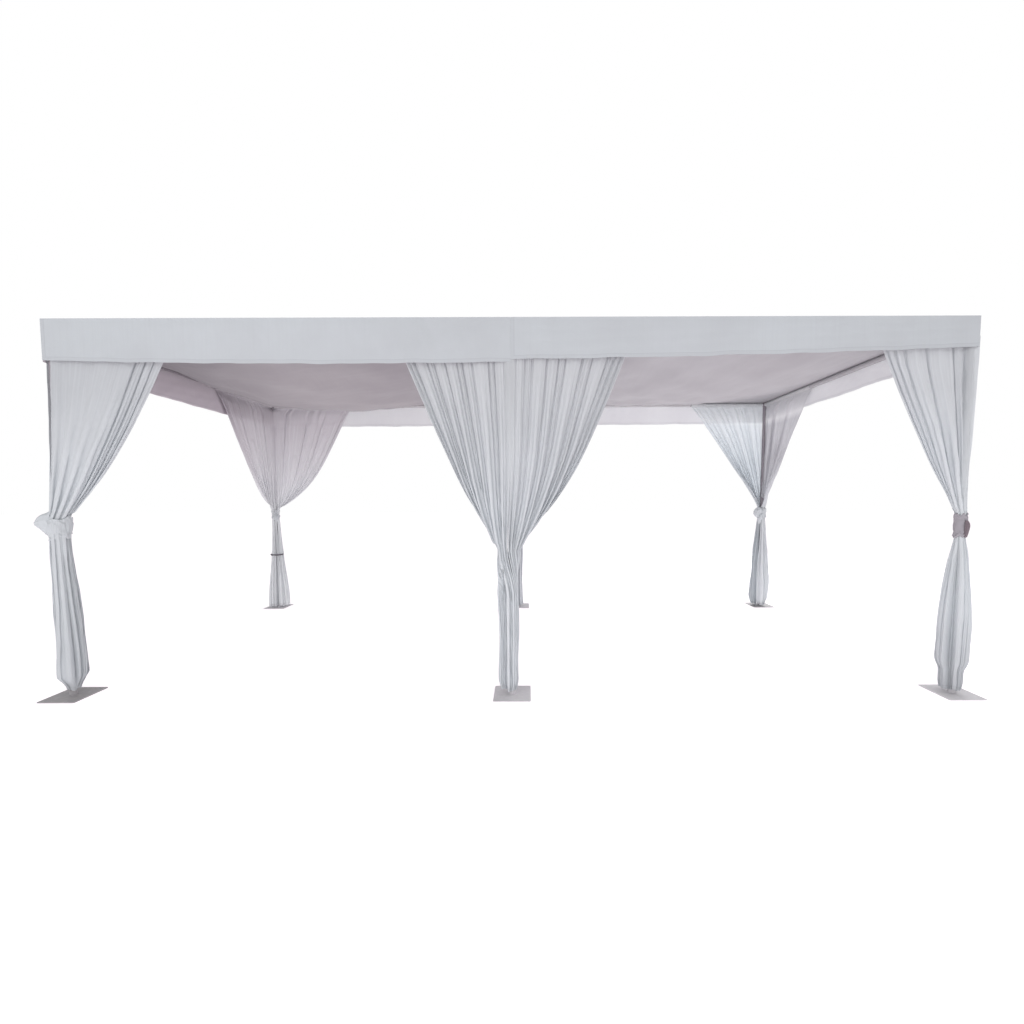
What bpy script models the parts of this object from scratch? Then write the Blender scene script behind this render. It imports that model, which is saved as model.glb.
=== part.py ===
"""Two-bay cabana tent: a pipe frame with a slack roof cloth, valances and tied-back curtains.

Metres, +Z up. The front faces -Y, +X is to the right, and the origin is on the floor in the
middle of the plan. Six uprights stand in collared base plates, seven rails slip over the stubs
on the upright heads, and all the cloth hangs from the rails.
"""

import math
from typing import NamedTuple

import bmesh
import bpy
from mathutils import Vector

# Plan and height, between the centres of the uprights
BAY_WIDTH = 3.66
DEPTH = 3.66
HEIGHT = 3.05

# Tubes of the frame
UPRIGHT_RADIUS = 0.0254
UPRIGHT_WALL = 0.0025
HEAD_PLUG_BELOW_RAIL = 0.040
RAIL_RADIUS = 0.024
RAIL_WALL = 0.002
STUB_LENGTH = 0.100
TUBE_SIDES = 24

# Base plates, each with a collar that the upright stands in
PLATE_WIDTH = 0.305
PLATE_DEPTH = 0.356
PLATE_THICKNESS = 0.006
PLATE_CORNER_RADIUS = 0.012
PLATE_CORNER_SEGMENTS = 2
COLLAR_HEIGHT = 0.045
COLLAR_WALL = 0.004
COLLAR_CLEARANCE = 0.0006

# Cloth, drawn thicker than the real weave so that it is a solid
CLOTH = 0.004
GAP = 0.0003
POCKET_STEPS = 7
POCKET_WRAP = math.radians(315)
CURTAIN_CLEARANCE = 0.0096
CURTAIN_COLUMNS = 6
DRAPE_ROWS = 6
LEG_ROWS = 2
SEAM_HALF_GAP = math.radians(2)

# How far each curtain reaches along its rail, read on the photograph or taken from its mirror image
REACH_FRONT_LEFT = 0.98
REACH_FRONT_RIGHT = 0.73
REACH_MIDDLE_LEFT = 0.93
REACH_MIDDLE_RIGHT = 0.97
REACH_FRONT_SIDE = 0.86
REACH_BACK_LEFT = 1.15
REACH_BACK_RIGHT = 1.06
REACH_BACK_LEFT_SIDE = 1.36
REACH_BACK_RIGHT_SIDE = 1.25

# Heights of the ties above the floor
TIE_HEIGHT_FRONT_LEFT = 1.38
TIE_HEIGHT_FRONT_RIGHT = 1.36
TIE_HEIGHT_BACK_LEFT = 1.42
TIE_HEIGHT_BACK_RIGHT = 1.40
TIE_HEIGHT_MIDDLE = 1.17
LOWER_TIE_HEIGHT = 0.80

# Hems of the tied curtains: their height above the floor and the radius of the leg there
HEM_HEIGHT_FRONT_LEFT = 0.08
HEM_HEIGHT_FRONT_RIGHT = 0.05
HEM_HEIGHT = 0.03
HEM_RADIUS_FRONT_LEFT = 0.130
HEM_RADIUS_FRONT_MIDDLE = 0.090
HEM_RADIUS_FRONT_RIGHT = 0.135
HEM_RADIUS_BACK = 0.140

# Gathered curtains inside the ties, and the ties wound round them
GATHER_RADIUS_FRONT_LEFT = 0.070
GATHER_RADIUS_FRONT_RIGHT = 0.046
GATHER_RADIUS_MIDDLE = 0.076
GATHER_RADIUS_BACK = 0.060
TIE_WIDTH_FRONT_LEFT = 0.170
TIE_WIDTH_FRONT_RIGHT = 0.180
TIE_WIDTH_MIDDLE = 0.050
TIE_WIDTH_BACK = 0.130
TIE_THICKNESS = 0.008
TIE_MARGIN = 0.012
CORD_TIE_WIDTH = 0.010
CORD_TIE_THICKNESS = 0.004

# Valances: how far they stand outside the rails, and the depth of each at its ends and its middle
VALANCE_OFFSET = 0.040
VALANCE_LIP = 0.008
VALANCE_COLUMNS = 8
DROP_FRONT_LEFT = 0.325
DROP_FRONT_LEFT_INNER = 0.345
DROP_FRONT_RIGHT_INNER = 0.325
DROP_FRONT_RIGHT = 0.240
DROP_BACK_RIGHT = 0.300
DROP_BACK_RIGHT_SIDE = 0.250
DROP_BACK_MIDDLE = 0.320
DROP_BACK_LEFT = 0.330
DROP_FRONT_LEFT_SIDE = 0.335
BELLY_FRONT_LEFT = 0.020
BELLY_FRONT_RIGHT = 0.015
BELLY_OTHERS = 0.010

# Roof cloth: the width that lies on a rail, and how deep and where each bay sags
ROOF_REST_WIDTH = 0.036
ROOF_SAG_LEFT = 0.33
ROOF_SAG_RIGHT = 0.25
ROOF_LOW_POINT_LEFT = 0.37
ROOF_LOW_POINT_RIGHT = 0.50
ROOF_BAY_COLUMNS = 7
ROOF_ROWS = 7

# Worked out from the sizes above
CURTAIN_START = UPRIGHT_RADIUS + CURTAIN_CLEARANCE
POCKET_HALF_STEP = POCKET_WRAP / POCKET_STEPS / 2
POCKET_RADIUS = (RAIL_RADIUS + GAP) / math.cos(POCKET_HALF_STEP)
POCKET_OUTER_RADIUS = POCKET_RADIUS + CLOTH / math.cos(POCKET_HALF_STEP)
RAIL_HEIGHT = HEIGHT - VALANCE_LIP - CLOTH - GAP - POCKET_OUTER_RADIUS
RAIL_START = UPRIGHT_RADIUS + GAP
UPRIGHT_TOP = RAIL_HEIGHT + POCKET_OUTER_RADIUS
ROOF_UNDERSIDE = UPRIGHT_TOP + GAP


class Post(NamedTuple):
    """An upright's place in the plan and the way its curtains are tied."""

    name: str
    column: int
    row: int
    tie_height: float
    tie_width: float
    gather_radius: float
    hem_height: float
    hem_radius: float

    @property
    def centre(self) -> Vector:
        return Vector((self.column * BAY_WIDTH, self.row * DEPTH / 2, 0.0))

    @property
    def waist_bottom(self) -> float:
        return self.tie_height - self.tie_width / 2 - TIE_MARGIN

    @property
    def waist_top(self) -> float:
        return self.tie_height + self.tie_width / 2 + TIE_MARGIN


class Curtain(NamedTuple):
    """One curtain panel: its post, the rail it hangs on and how far it reaches along it."""

    post: str
    side: str
    reach: float
    fullness: float


class Valance(NamedTuple):
    """A valance between two corners, with its drop at each end and the belly of its hem."""

    name: str
    start: Vector
    end: Vector
    start_drop: float
    end_drop: float
    belly: float


POSTS = (
    Post("front_left", -1, -1, TIE_HEIGHT_FRONT_LEFT, TIE_WIDTH_FRONT_LEFT,
         GATHER_RADIUS_FRONT_LEFT, HEM_HEIGHT_FRONT_LEFT, HEM_RADIUS_FRONT_LEFT),
    Post("front_middle", 0, -1, TIE_HEIGHT_MIDDLE, TIE_WIDTH_MIDDLE,
         GATHER_RADIUS_MIDDLE, HEM_HEIGHT, HEM_RADIUS_FRONT_MIDDLE),
    Post("front_right", 1, -1, TIE_HEIGHT_FRONT_RIGHT, TIE_WIDTH_FRONT_RIGHT,
         GATHER_RADIUS_FRONT_RIGHT, HEM_HEIGHT_FRONT_RIGHT, HEM_RADIUS_FRONT_RIGHT),
    Post("back_left", -1, 1, TIE_HEIGHT_BACK_LEFT, TIE_WIDTH_BACK,
         GATHER_RADIUS_BACK, HEM_HEIGHT, HEM_RADIUS_BACK),
    Post("back_middle", 0, 1, TIE_HEIGHT_MIDDLE, TIE_WIDTH_MIDDLE,
         GATHER_RADIUS_MIDDLE, HEM_HEIGHT, HEM_RADIUS_BACK),
    Post("back_right", 1, 1, TIE_HEIGHT_BACK_RIGHT, TIE_WIDTH_BACK,
         GATHER_RADIUS_BACK, HEM_HEIGHT, HEM_RADIUS_BACK),
)

CURTAINS = (
    Curtain("front_left", "front", REACH_FRONT_LEFT, 1.1),
    Curtain("front_left", "side", REACH_FRONT_SIDE, 1.2),
    Curtain("front_middle", "left", REACH_MIDDLE_LEFT, 1.2),
    Curtain("front_middle", "right", REACH_MIDDLE_RIGHT, 1.3),
    Curtain("front_right", "front", REACH_FRONT_RIGHT, 1.1),
    Curtain("front_right", "side", REACH_FRONT_SIDE, 1.2),
    Curtain("back_left", "back", REACH_BACK_LEFT, 1.6),
    Curtain("back_left", "side", REACH_BACK_LEFT_SIDE, 1.6),
    Curtain("back_middle", "left", REACH_MIDDLE_LEFT, 1.2),
    Curtain("back_middle", "right", REACH_MIDDLE_RIGHT, 1.2),
    Curtain("back_right", "back", REACH_BACK_RIGHT, 1.4),
    Curtain("back_right", "side", REACH_BACK_RIGHT_SIDE, 1.1),
)


def clear_scene():
    """Remove the objects of the opening scene."""
    for item in list(bpy.data.objects):
        bpy.data.objects.remove(item, do_unlink=True)


def new_collection(name, hidden=False):
    """Make a collection in the scene; a hidden one holds the cutters."""
    collection = bpy.data.collections.new(name)
    bpy.context.scene.collection.children.link(collection)
    collection.hide_render = hidden
    return collection


def new_material(name, color, roughness, metallic):
    """Make a Principled BSDF material."""
    material = bpy.data.materials.new(name)
    material.use_nodes = True
    shader = material.node_tree.nodes["Principled BSDF"]
    shader.inputs["Base Color"].default_value = (*color, 1.0)
    shader.inputs["Roughness"].default_value = roughness
    shader.inputs["Metallic"].default_value = metallic
    return material


def add_object(name, mesh, collection, material=None):
    """Link a mesh to the scene as a named object."""
    item = bpy.data.objects.new(name, mesh)
    collection.objects.link(item)
    if material:
        mesh.materials.append(material)
    return item


def turned_mesh(name, profile, closed):
    """Make the edge profile of a turned piece, as (radius, height) points."""
    mesh = bpy.data.meshes.new(name)
    shape = bmesh.new()
    verts = [shape.verts.new((radius, 0.0, height)) for radius, height in profile]
    for first, second in zip(verts, verts[1:]):
        shape.edges.new((first, second))
    if closed:
        shape.edges.new((verts[-1], verts[0]))
    shape.to_mesh(mesh)
    shape.free()
    return mesh


def add_turned(name, profile, collection, material=None, closed=False):
    """Turn a profile round Z into a solid of revolution."""
    item = add_object(name, turned_mesh(name, profile, closed), collection, material)
    screw = item.modifiers.new("Turn", "SCREW")
    screw.axis = "Z"
    screw.angle = 2 * math.pi
    screw.steps = TUBE_SIDES
    screw.render_steps = TUBE_SIDES
    screw.use_merge_vertices = True
    screw.merge_threshold = 0.0001
    return item


def add_ring(name, inner, outer, bottom, top, collection, material=None):
    """Turn a rectangular section into a ring or a tube about Z."""
    profile = [(outer, top), (outer, bottom), (inner, bottom), (inner, top)]
    return add_turned(name, profile, collection, material, closed=True)


def unite(item, tool, helpers):
    """Join a helper solid to a piece and hide the helper."""
    tool.hide_render = True
    tool.display_type = "WIRE"
    for holder in list(tool.users_collection):
        holder.objects.unlink(tool)
    helpers.objects.link(tool)
    joint = item.modifiers.new("Join " + tool.name, "BOOLEAN")
    joint.operation = "UNION"
    joint.object = tool


def cloth_grid(name, columns, rows, place, outward, collection, material):
    """Bend a grid into a cloth face and thicken it to the side that outward points to.

    place(i, j) gives the position of the grid point in column i and row j. The cloth grows
    from that face to the side where (column step) x (row step) points, flipped if outward
    is False.
    """
    shape = bmesh.new()
    bmesh.ops.create_grid(shape, x_segments=columns, y_segments=rows, size=1)
    for vert in shape.verts:
        i = round((vert.co.x + 1) / 2 * columns)
        j = round((vert.co.y + 1) / 2 * rows)
        vert.co = place(i, j)
    if not outward:
        bmesh.ops.reverse_faces(shape, faces=shape.faces)
    mesh = bpy.data.meshes.new(name)
    shape.to_mesh(mesh)
    shape.free()
    item = add_object(name, mesh, collection, material)
    thicken = item.modifiers.new("Cloth", "SOLIDIFY")
    thicken.thickness = CLOTH
    thicken.offset = 1.0
    thicken.use_even_offset = True
    return item


def rail_directions(post):
    """Directions from an upright's head along each rail that it carries."""
    if post.column:
        return [Vector((-post.column, 0, 0)), Vector((0, -post.row, 0))]
    return [Vector((-1, 0, 0)), Vector((1, 0, 0)), Vector((0, -post.row, 0))]


def add_base_plate(post, parts, helpers, material):
    """Add a steel plate with rounded corners and a welded collar."""
    shape = bmesh.new()
    bmesh.ops.create_cube(shape, size=1.0)
    for vert in shape.verts:
        vert.co.x *= PLATE_WIDTH
        vert.co.y *= PLATE_DEPTH
        vert.co.z = (vert.co.z + 0.5) * PLATE_THICKNESS
    uprights = [edge for edge in shape.edges if abs(edge.verts[0].co.z - edge.verts[1].co.z) > 0]
    bmesh.ops.bevel(shape, geom=uprights, offset=PLATE_CORNER_RADIUS,
                    segments=PLATE_CORNER_SEGMENTS, profile=0.5, affect="EDGES")
    mesh = bpy.data.meshes.new("base_plate_" + post.name)
    shape.to_mesh(mesh)
    shape.free()
    plate = add_object("base_plate_" + post.name, mesh, parts, material)
    inner = UPRIGHT_RADIUS + COLLAR_CLEARANCE
    collar = add_ring("collar_" + post.name, inner, inner + COLLAR_WALL, PLATE_THICKNESS / 2,
                      PLATE_THICKNESS + COLLAR_HEIGHT, helpers)
    collar.location = post.centre
    plate.location = post.centre
    unite(plate, collar, helpers)


def add_upright(post, parts, helpers, material):
    """Add an upright tube with a solid head and a stub for each rail."""
    inner = UPRIGHT_RADIUS - UPRIGHT_WALL
    bottom = PLATE_THICKNESS + GAP
    plug = RAIL_HEIGHT - HEAD_PLUG_BELOW_RAIL
    profile = [(0.0, UPRIGHT_TOP), (UPRIGHT_RADIUS, UPRIGHT_TOP), (UPRIGHT_RADIUS, bottom),
               (inner, bottom), (inner, plug), (0.0, plug)]
    upright = add_turned("upright_" + post.name, profile, parts, material)
    upright.location = post.centre
    for number, direction in enumerate(rail_directions(post)):
        stub_radius = RAIL_RADIUS - RAIL_WALL - GAP
        profile = [(0.0, STUB_LENGTH), (stub_radius, STUB_LENGTH), (stub_radius, 0.0), (0.0, 0.0)]
        stub = add_turned(f"stub_{post.name}_{number}", profile, helpers)
        stub.rotation_euler = direction.to_track_quat("Z", "Y").to_euler()
        stub.location = post.centre + Vector((0, 0, RAIL_HEIGHT))
        unite(upright, stub, helpers)


def add_rail(name, start, end, parts, material):
    """Add a hollow rail whose ends stop just short of the uprights at start and end."""
    run = end - start
    length = run.length - 2 * RAIL_START
    rail = add_ring("rail_" + name, RAIL_RADIUS - RAIL_WALL, RAIL_RADIUS, 0.0, length, parts, material)
    rail.rotation_euler = run.to_track_quat("Z", "Y").to_euler()
    rail.location = start + run.normalized() * RAIL_START + Vector((0, 0, RAIL_HEIGHT))


def add_rails(parts, material):
    """Add the six rails round the plan and the one across the middle."""
    left, right, front, back = -BAY_WIDTH, BAY_WIDTH, -DEPTH / 2, DEPTH / 2
    runs = {
        "front_left": ((left, front), (0, front)),
        "front_right": ((0, front), (right, front)),
        "back_left": ((left, back), (0, back)),
        "back_right": ((0, back), (right, back)),
        "left_side": ((left, front), (left, back)),
        "right_side": ((right, front), (right, back)),
        "middle": ((0, front), (0, back)),
    }
    for name, (start, end) in runs.items():
        add_rail(name, Vector((*start, 0)), Vector((*end, 0)), parts, material)


def curtain_frame(post, side):
    """Directions along the rail, away from the post, and outward from the tent."""
    if side == "side":
        return Vector((0, -post.row, 0)), Vector((post.column, 0, 0))
    along = {"left": -1, "right": 1}.get(side, -post.column)
    return Vector((along, 0, 0)), Vector((0, post.row, 0))


def curtain_rows(post, fullness):
    """Height, gathered share and radius of each row of a curtain, from hem to rail."""
    rows = []
    for step in range(LEG_ROWS + 1):
        up = step / LEG_ROWS
        height = post.hem_height + (post.waist_bottom - post.hem_height) * up
        radius = post.hem_radius + (post.gather_radius - post.hem_radius) * up
        rows.append((height, 1.0, radius))
    for step in range(DRAPE_ROWS + 1):
        down = 1 - step / DRAPE_ROWS
        height = RAIL_HEIGHT + (post.waist_top - RAIL_HEIGHT) * down
        rows.append((height, down ** fullness, post.gather_radius))
    return rows


def add_curtain(posts, curtain, parts, material):
    """Add a curtain: a pocket round the rail, a fan down to the tie and a leg below it."""
    post = posts[curtain.post]
    along, outward = curtain_frame(post, curtain.side)
    rows = curtain_rows(post, curtain.fullness)
    seam = math.radians(135 if post.column else 90)
    arc = math.pi - 2 * SEAM_HALF_GAP

    def place(i, j):
        share = i / CURTAIN_COLUMNS
        run = CURTAIN_START + curtain.reach * share
        if j >= len(rows):
            turn = POCKET_WRAP * (j - len(rows) + 1) / POCKET_STEPS
            offset = POCKET_RADIUS * math.cos(turn)
            height = RAIL_HEIGHT + POCKET_RADIUS * math.sin(turn)
            return post.centre + along * run + outward * offset + Vector((0, 0, height))
        height, gathered, radius = rows[j]
        turn = seam - SEAM_HALF_GAP - arc * share
        hanging = Vector((run, POCKET_RADIUS))
        wrapped = Vector((math.cos(turn), math.sin(turn))) * radius
        plan = hanging.lerp(wrapped, gathered)
        return post.centre + along * plan.x + outward * plan.y + Vector((0, 0, height))

    faces_out = along.cross(Vector((0, 0, 1))).dot(outward) > 0
    name = f"curtain_{post.name}_{curtain.side}"
    row_count = len(rows) - 1 + POCKET_STEPS
    cloth_grid(name, CURTAIN_COLUMNS, row_count, place, faces_out, parts, material)


def add_tie(name, post, height, width, thickness, parts, material):
    """Add a band round the gathered curtains of a post, at a height on the leg or above it."""
    leg = post.waist_bottom - post.hem_height
    down = max(0.0, (post.waist_bottom - height + width / 2) / leg)
    bunch = post.gather_radius + (post.hem_radius - post.gather_radius) * down
    column_half = (math.pi - 2 * SEAM_HALF_GAP) / CURTAIN_COLUMNS / 2
    inner = (bunch + CLOTH / math.cos(column_half) + GAP) / math.cos(math.pi / TUBE_SIDES)
    tie = add_ring(name, inner, inner + thickness, -width / 2, width / 2, parts, material)
    tie.location = post.centre + Vector((0, 0, height))


def valances():
    """The six valances; the side ones fit between the front and back ones."""
    face = VALANCE_OFFSET
    front, back = -DEPTH / 2 - face, DEPTH / 2 + face
    left, right = -BAY_WIDTH - face, BAY_WIDTH + face
    corner_left, corner_right = left - CLOTH, right + CLOTH
    seam = GAP / 2
    side_front, side_back = front + GAP, back - GAP
    return (
        Valance("front_left", Vector((corner_left, front)), Vector((-seam, front)),
                DROP_FRONT_LEFT, DROP_FRONT_LEFT_INNER, BELLY_FRONT_LEFT),
        Valance("front_right", Vector((seam, front)), Vector((corner_right, front)),
                DROP_FRONT_RIGHT_INNER, DROP_FRONT_RIGHT, BELLY_FRONT_RIGHT),
        Valance("right_side", Vector((right, side_front)), Vector((right, side_back)),
                DROP_FRONT_RIGHT, DROP_BACK_RIGHT_SIDE, BELLY_OTHERS),
        Valance("back_right", Vector((corner_right, back)), Vector((seam, back)),
                DROP_BACK_RIGHT, DROP_BACK_MIDDLE, BELLY_OTHERS),
        Valance("back_left", Vector((-seam, back)), Vector((corner_left, back)),
                DROP_BACK_MIDDLE, DROP_BACK_LEFT, BELLY_OTHERS),
        Valance("left_side", Vector((left, side_back)), Vector((left, side_front)),
                DROP_BACK_LEFT, DROP_FRONT_LEFT_SIDE, BELLY_OTHERS),
    )


def add_valance(valance, parts, material):
    """Add a flat band of cloth with a straight top edge and a slightly slack hem."""
    def place(i, j):
        share = i / VALANCE_COLUMNS
        plan = valance.start.lerp(valance.end, share)
        drop = valance.start_drop + (valance.end_drop - valance.start_drop) * share
        drop += valance.belly * 4 * share * (1 - share)
        return Vector((plan.x, plan.y, HEIGHT - drop * (1 - j)))

    cloth_grid("valance_" + valance.name, VALANCE_COLUMNS, 1, place, True, parts, material)


def sag_shape(share, low_point):
    """Share of the full sag, from the side rail (0) to the middle rail (1)."""
    return math.sin(math.pi * share ** (math.log(0.5) / math.log(low_point)))


def roof_drop(x, y):
    """How far the roof cloth hangs below its rest on the rails."""
    half_depth = DEPTH / 2 - ROOF_REST_WIDTH
    across = max(0.0, 1 - (y / half_depth) ** 2)
    bay = BAY_WIDTH - 2 * ROOF_REST_WIDTH
    share = min(1.0, max(0.0, (BAY_WIDTH - ROOF_REST_WIDTH - abs(x)) / bay))
    if x < 0:
        return ROOF_SAG_LEFT * across * sag_shape(share, ROOF_LOW_POINT_LEFT)
    return ROOF_SAG_RIGHT * across * sag_shape(share, ROOF_LOW_POINT_RIGHT)


def spread(first, last, count):
    """Evenly spaced values from first to last."""
    return [first + (last - first) * step / count for step in range(count + 1)]


def add_roof_cloth(name, side, parts, material):
    """Add the roof cloth of one bay, which rests on the rails round it and sags between them.

    side is -1 for the left bay and 1 for the right one; the two cloths meet over the middle rail.
    """
    edge_x = BAY_WIDTH + VALANCE_OFFSET - GAP
    edge_y = DEPTH / 2 + VALANCE_OFFSET - GAP
    sag_edge_x = BAY_WIDTH - ROOF_REST_WIDTH
    sag_edge_y = DEPTH / 2 - ROOF_REST_WIDTH
    columns = [GAP / 2] + spread(ROOF_REST_WIDTH, sag_edge_x, ROOF_BAY_COLUMNS) + [edge_x]
    rows = [-edge_y] + spread(-sag_edge_y, sag_edge_y, ROOF_ROWS) + [edge_y]

    def place(i, j):
        x, y = side * columns[i], rows[j]
        return Vector((x, y, ROOF_UNDERSIDE - roof_drop(x, y)))

    cloth_grid(name, len(columns) - 1, len(rows) - 1, place, side > 0, parts, material)


def main():
    """Build the tent."""
    clear_scene()
    parts = new_collection("cabana_tent")
    helpers = new_collection("helpers", hidden=True)
    steel = new_material("plate_steel", (0.42, 0.41, 0.43), 0.50, 0.6)
    tube = new_material("frame_tube", (0.55, 0.56, 0.58), 0.38, 0.9)
    drape = new_material("curtain_cloth", (0.72, 0.73, 0.76), 0.90, 0.0)
    band = new_material("tie_cloth", (0.40, 0.38, 0.41), 0.90, 0.0)
    cover = new_material("cover_cloth", (0.76, 0.77, 0.80), 0.85, 0.0)

    for post in POSTS:
        add_base_plate(post, parts, helpers, steel)
        add_upright(post, parts, helpers, tube)
        add_tie("tie_" + post.name, post, post.tie_height, post.tie_width, TIE_THICKNESS, parts, band)
    add_rails(parts, tube)
    posts = {post.name: post for post in POSTS}
    add_tie("tie_back_left_lower", posts["back_left"], LOWER_TIE_HEIGHT, CORD_TIE_WIDTH,
            CORD_TIE_THICKNESS, parts, band)
    for curtain in CURTAINS:
        add_curtain(posts, curtain, parts, drape)
    for valance in valances():
        add_valance(valance, parts, cover)
    add_roof_cloth("roof_cloth_left", -1, parts, cover)
    add_roof_cloth("roof_cloth_right", 1, parts, cover)


main()
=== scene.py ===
"""Looks of the two-bay cabana tent: its gathered curtains, roof cloths, valances, ties and metal.

Metres, +Z up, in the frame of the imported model. The front of the tent faces -Y. Each cloth is
built from the way it hangs: a flat panel whose folds keep their length while the panel narrows
from its rail to its tie, and opens again in the leg below it.
"""

import logging
import math
from dataclasses import dataclass
from enum import Enum
from functools import cached_property
from typing import Sequence

import bmesh
import bpy
import numpy as np
from mathutils import Matrix, Vector

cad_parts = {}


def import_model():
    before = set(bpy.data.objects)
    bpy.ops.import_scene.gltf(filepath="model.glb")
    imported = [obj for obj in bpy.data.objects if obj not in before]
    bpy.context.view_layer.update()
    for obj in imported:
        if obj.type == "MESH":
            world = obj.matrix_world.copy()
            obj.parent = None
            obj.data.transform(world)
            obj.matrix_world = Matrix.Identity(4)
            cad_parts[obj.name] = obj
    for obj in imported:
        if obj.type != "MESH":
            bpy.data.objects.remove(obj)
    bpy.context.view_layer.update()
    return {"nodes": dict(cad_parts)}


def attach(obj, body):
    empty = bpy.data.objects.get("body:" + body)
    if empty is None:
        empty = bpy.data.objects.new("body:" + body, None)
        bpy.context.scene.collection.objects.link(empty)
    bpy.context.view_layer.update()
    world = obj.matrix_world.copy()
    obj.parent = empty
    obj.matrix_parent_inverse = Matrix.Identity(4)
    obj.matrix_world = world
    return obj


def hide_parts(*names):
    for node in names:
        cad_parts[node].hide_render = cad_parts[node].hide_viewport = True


LOG = logging.getLogger("cabana")
BODY = "root"

# Sizes that the cloth shares with the frame under it
BAY_WIDTH = 3.66
DEPTH = 3.66
HEIGHT = 3.05
UPRIGHT_RADIUS = 0.0254
CLEARANCE = 0.006
RAIL_HEIGHT = 3.0071
POCKET_RADIUS = 0.0272
VALANCE_OFFSET = 0.040
ROOF_UNDERSIDE = 3.0380
ROOF_REST_WIDTH = 0.036

# One turn in radians
TURN = 2 * math.pi
# Metres: points nearer than this are one, margin that keeps hems off a band, start of a sleeve
MERGE_DISTANCE = 0.00001
UV_MARGIN = 0.1
SLEEVE_START = 0.045


def smooth_step(value: float | np.ndarray, low: float, high: float) -> float | np.ndarray:
    """Ease from 0 below low to 1 above high."""
    share = np.clip((value - low) / (high - low), 0.0, 1.0)
    return share * share * (3 - 2 * share)


def bump(value: np.ndarray, centre: float, width: float) -> np.ndarray:
    """A bell of height 1 about a centre."""
    return np.exp(-(((value - centre) / width) ** 2))


class Ripple:
    """Smooth, repeatable unevenness made of a few sine waves."""

    def __init__(self, seed: int, wavelengths: Sequence[float], axes: int = 1) -> None:
        """Draw the waves.

        Args:
            seed: Start of the random draw.
            wavelengths: Length of each wave, in the units of the coordinates.
            axes: How many coordinates the unevenness varies over.
        """
        draw = np.random.default_rng(seed)
        turns = draw.normal(size=(len(wavelengths), axes))
        turns /= np.linalg.norm(turns, axis=1, keepdims=True)
        self.waves = TURN * turns / np.asarray(wavelengths)[:, None]
        self.starts = draw.uniform(0, TURN, len(wavelengths))
        self.scale = math.sqrt(2 / len(wavelengths))

    def __call__(self, *coordinates: float | np.ndarray) -> np.ndarray:
        """Height of the unevenness, mostly within -1 and 1.

        Args:
            coordinates: One array or number for each axis.

        Returns:
            An array of their shape.
        """
        total = 0.0
        for wave, start in zip(self.waves, self.starts):
            phase = sum(rate * value for rate, value in zip(wave, coordinates))
            total = total + np.sin(phase + start)
        return total * self.scale


class Meander:
    """Cross-section of one fold: a line whose heading swings to and fro like a sine wave.

    Such a line keeps its length however narrow the fold is pushed, which is how cloth folds.
    """

    WIDEST_SWING = 1.80
    SWINGS = 44
    STEPS = 64
    INSIDE = 0.001

    def __init__(self) -> None:
        """Tabulate the line for every swing of its heading.

        The tables hold the drift along the fold and the rise across it, for a flat width of 1.
        """
        self.swings = np.linspace(0.0, self.WIDEST_SWING, self.SWINGS)
        phase = np.linspace(0.0, 1.0, self.STEPS + 1)
        heading = self.swings[:, None] * np.sin(TURN * phase)
        advance = self._along(np.cos(heading))
        self.shortening = advance[:, -1]
        self.drift = advance - self.shortening[:, None] * phase
        self.rise = self._along(np.sin(heading))

    def _along(self, slope: np.ndarray) -> np.ndarray:
        """Add up a slope along the fold."""
        middle = (slope[:, 1:] + slope[:, :-1]) / 2 / self.STEPS
        return np.concatenate([np.zeros((len(slope), 1)), np.cumsum(middle, axis=1)], axis=1)

    def swing(self, narrowed: np.ndarray) -> np.ndarray:
        """Swing of the heading for a fold whose hung width is this share of its flat width."""
        return np.interp(-np.clip(narrowed, 0.0, 1.0), -self.shortening, self.swings)

    def read(self, table: np.ndarray, swing: np.ndarray, phase: np.ndarray) -> np.ndarray:
        """Read a table between its lines.

        Args:
            table: The drift or the rise.
            swing: Swing of the heading at each point.
            phase: Place in the fold, from 0 to 1.

        Returns:
            The value for a fold of flat width 1.
        """
        row = np.clip(swing / self.WIDEST_SWING * (self.SWINGS - 1), 0, self.SWINGS - 1 - self.INSIDE)
        column = np.clip(phase * self.STEPS, 0, self.STEPS - self.INSIDE)
        i, j = row.astype(int), column.astype(int)
        a, b = row - i, column - j
        upper = table[i, j] * (1 - b) + table[i, j + 1] * b
        lower = table[i + 1, j] * (1 - b) + table[i + 1, j + 1] * b
        return upper * (1 - a) + lower * a


MEANDER = Meander()


def mesh_from_grid(name: str, points: np.ndarray, cloth: np.ndarray, material: bpy.types.Material,
                   closed: bool = False) -> bpy.types.Object:
    """Make a smooth mesh from a grid of points.

    Args:
        name: Name of the new piece.
        points: Rows x columns x 3 places, in metres.
        cloth: Rows x columns x 2 places on the flat cloth, in metres, kept as UVs.
        material: Finish of the piece.
        closed: Whether the last column joins the first one.

    Returns:
        The new object, linked to the scene.
    """
    rows, columns = points.shape[:2]
    index = np.arange(rows * columns).reshape(rows, columns)
    right = np.roll(index, -1, axis=1) if closed else index[:, 1:]
    left = index if closed else index[:, :-1]
    faces = np.stack([left[:-1], right[:-1], right[1:], left[1:]], axis=-1).reshape(-1, 4)
    mesh = bpy.data.meshes.new(name)
    mesh.from_pydata(points.reshape(-1, 3).tolist(), [], faces.tolist())
    layer = mesh.uv_layers.new(name="cloth")
    loops = np.empty(len(mesh.loops), dtype=np.int64)
    mesh.loops.foreach_get("vertex_index", loops)
    layer.data.foreach_set("uv", cloth.reshape(-1, 2)[loops].astype(np.float32).ravel())
    mesh.materials.append(material)
    mesh.shade_smooth()
    mesh.update()
    piece = bpy.data.objects.new(name, mesh)
    bpy.context.scene.collection.objects.link(piece)
    return piece


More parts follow.
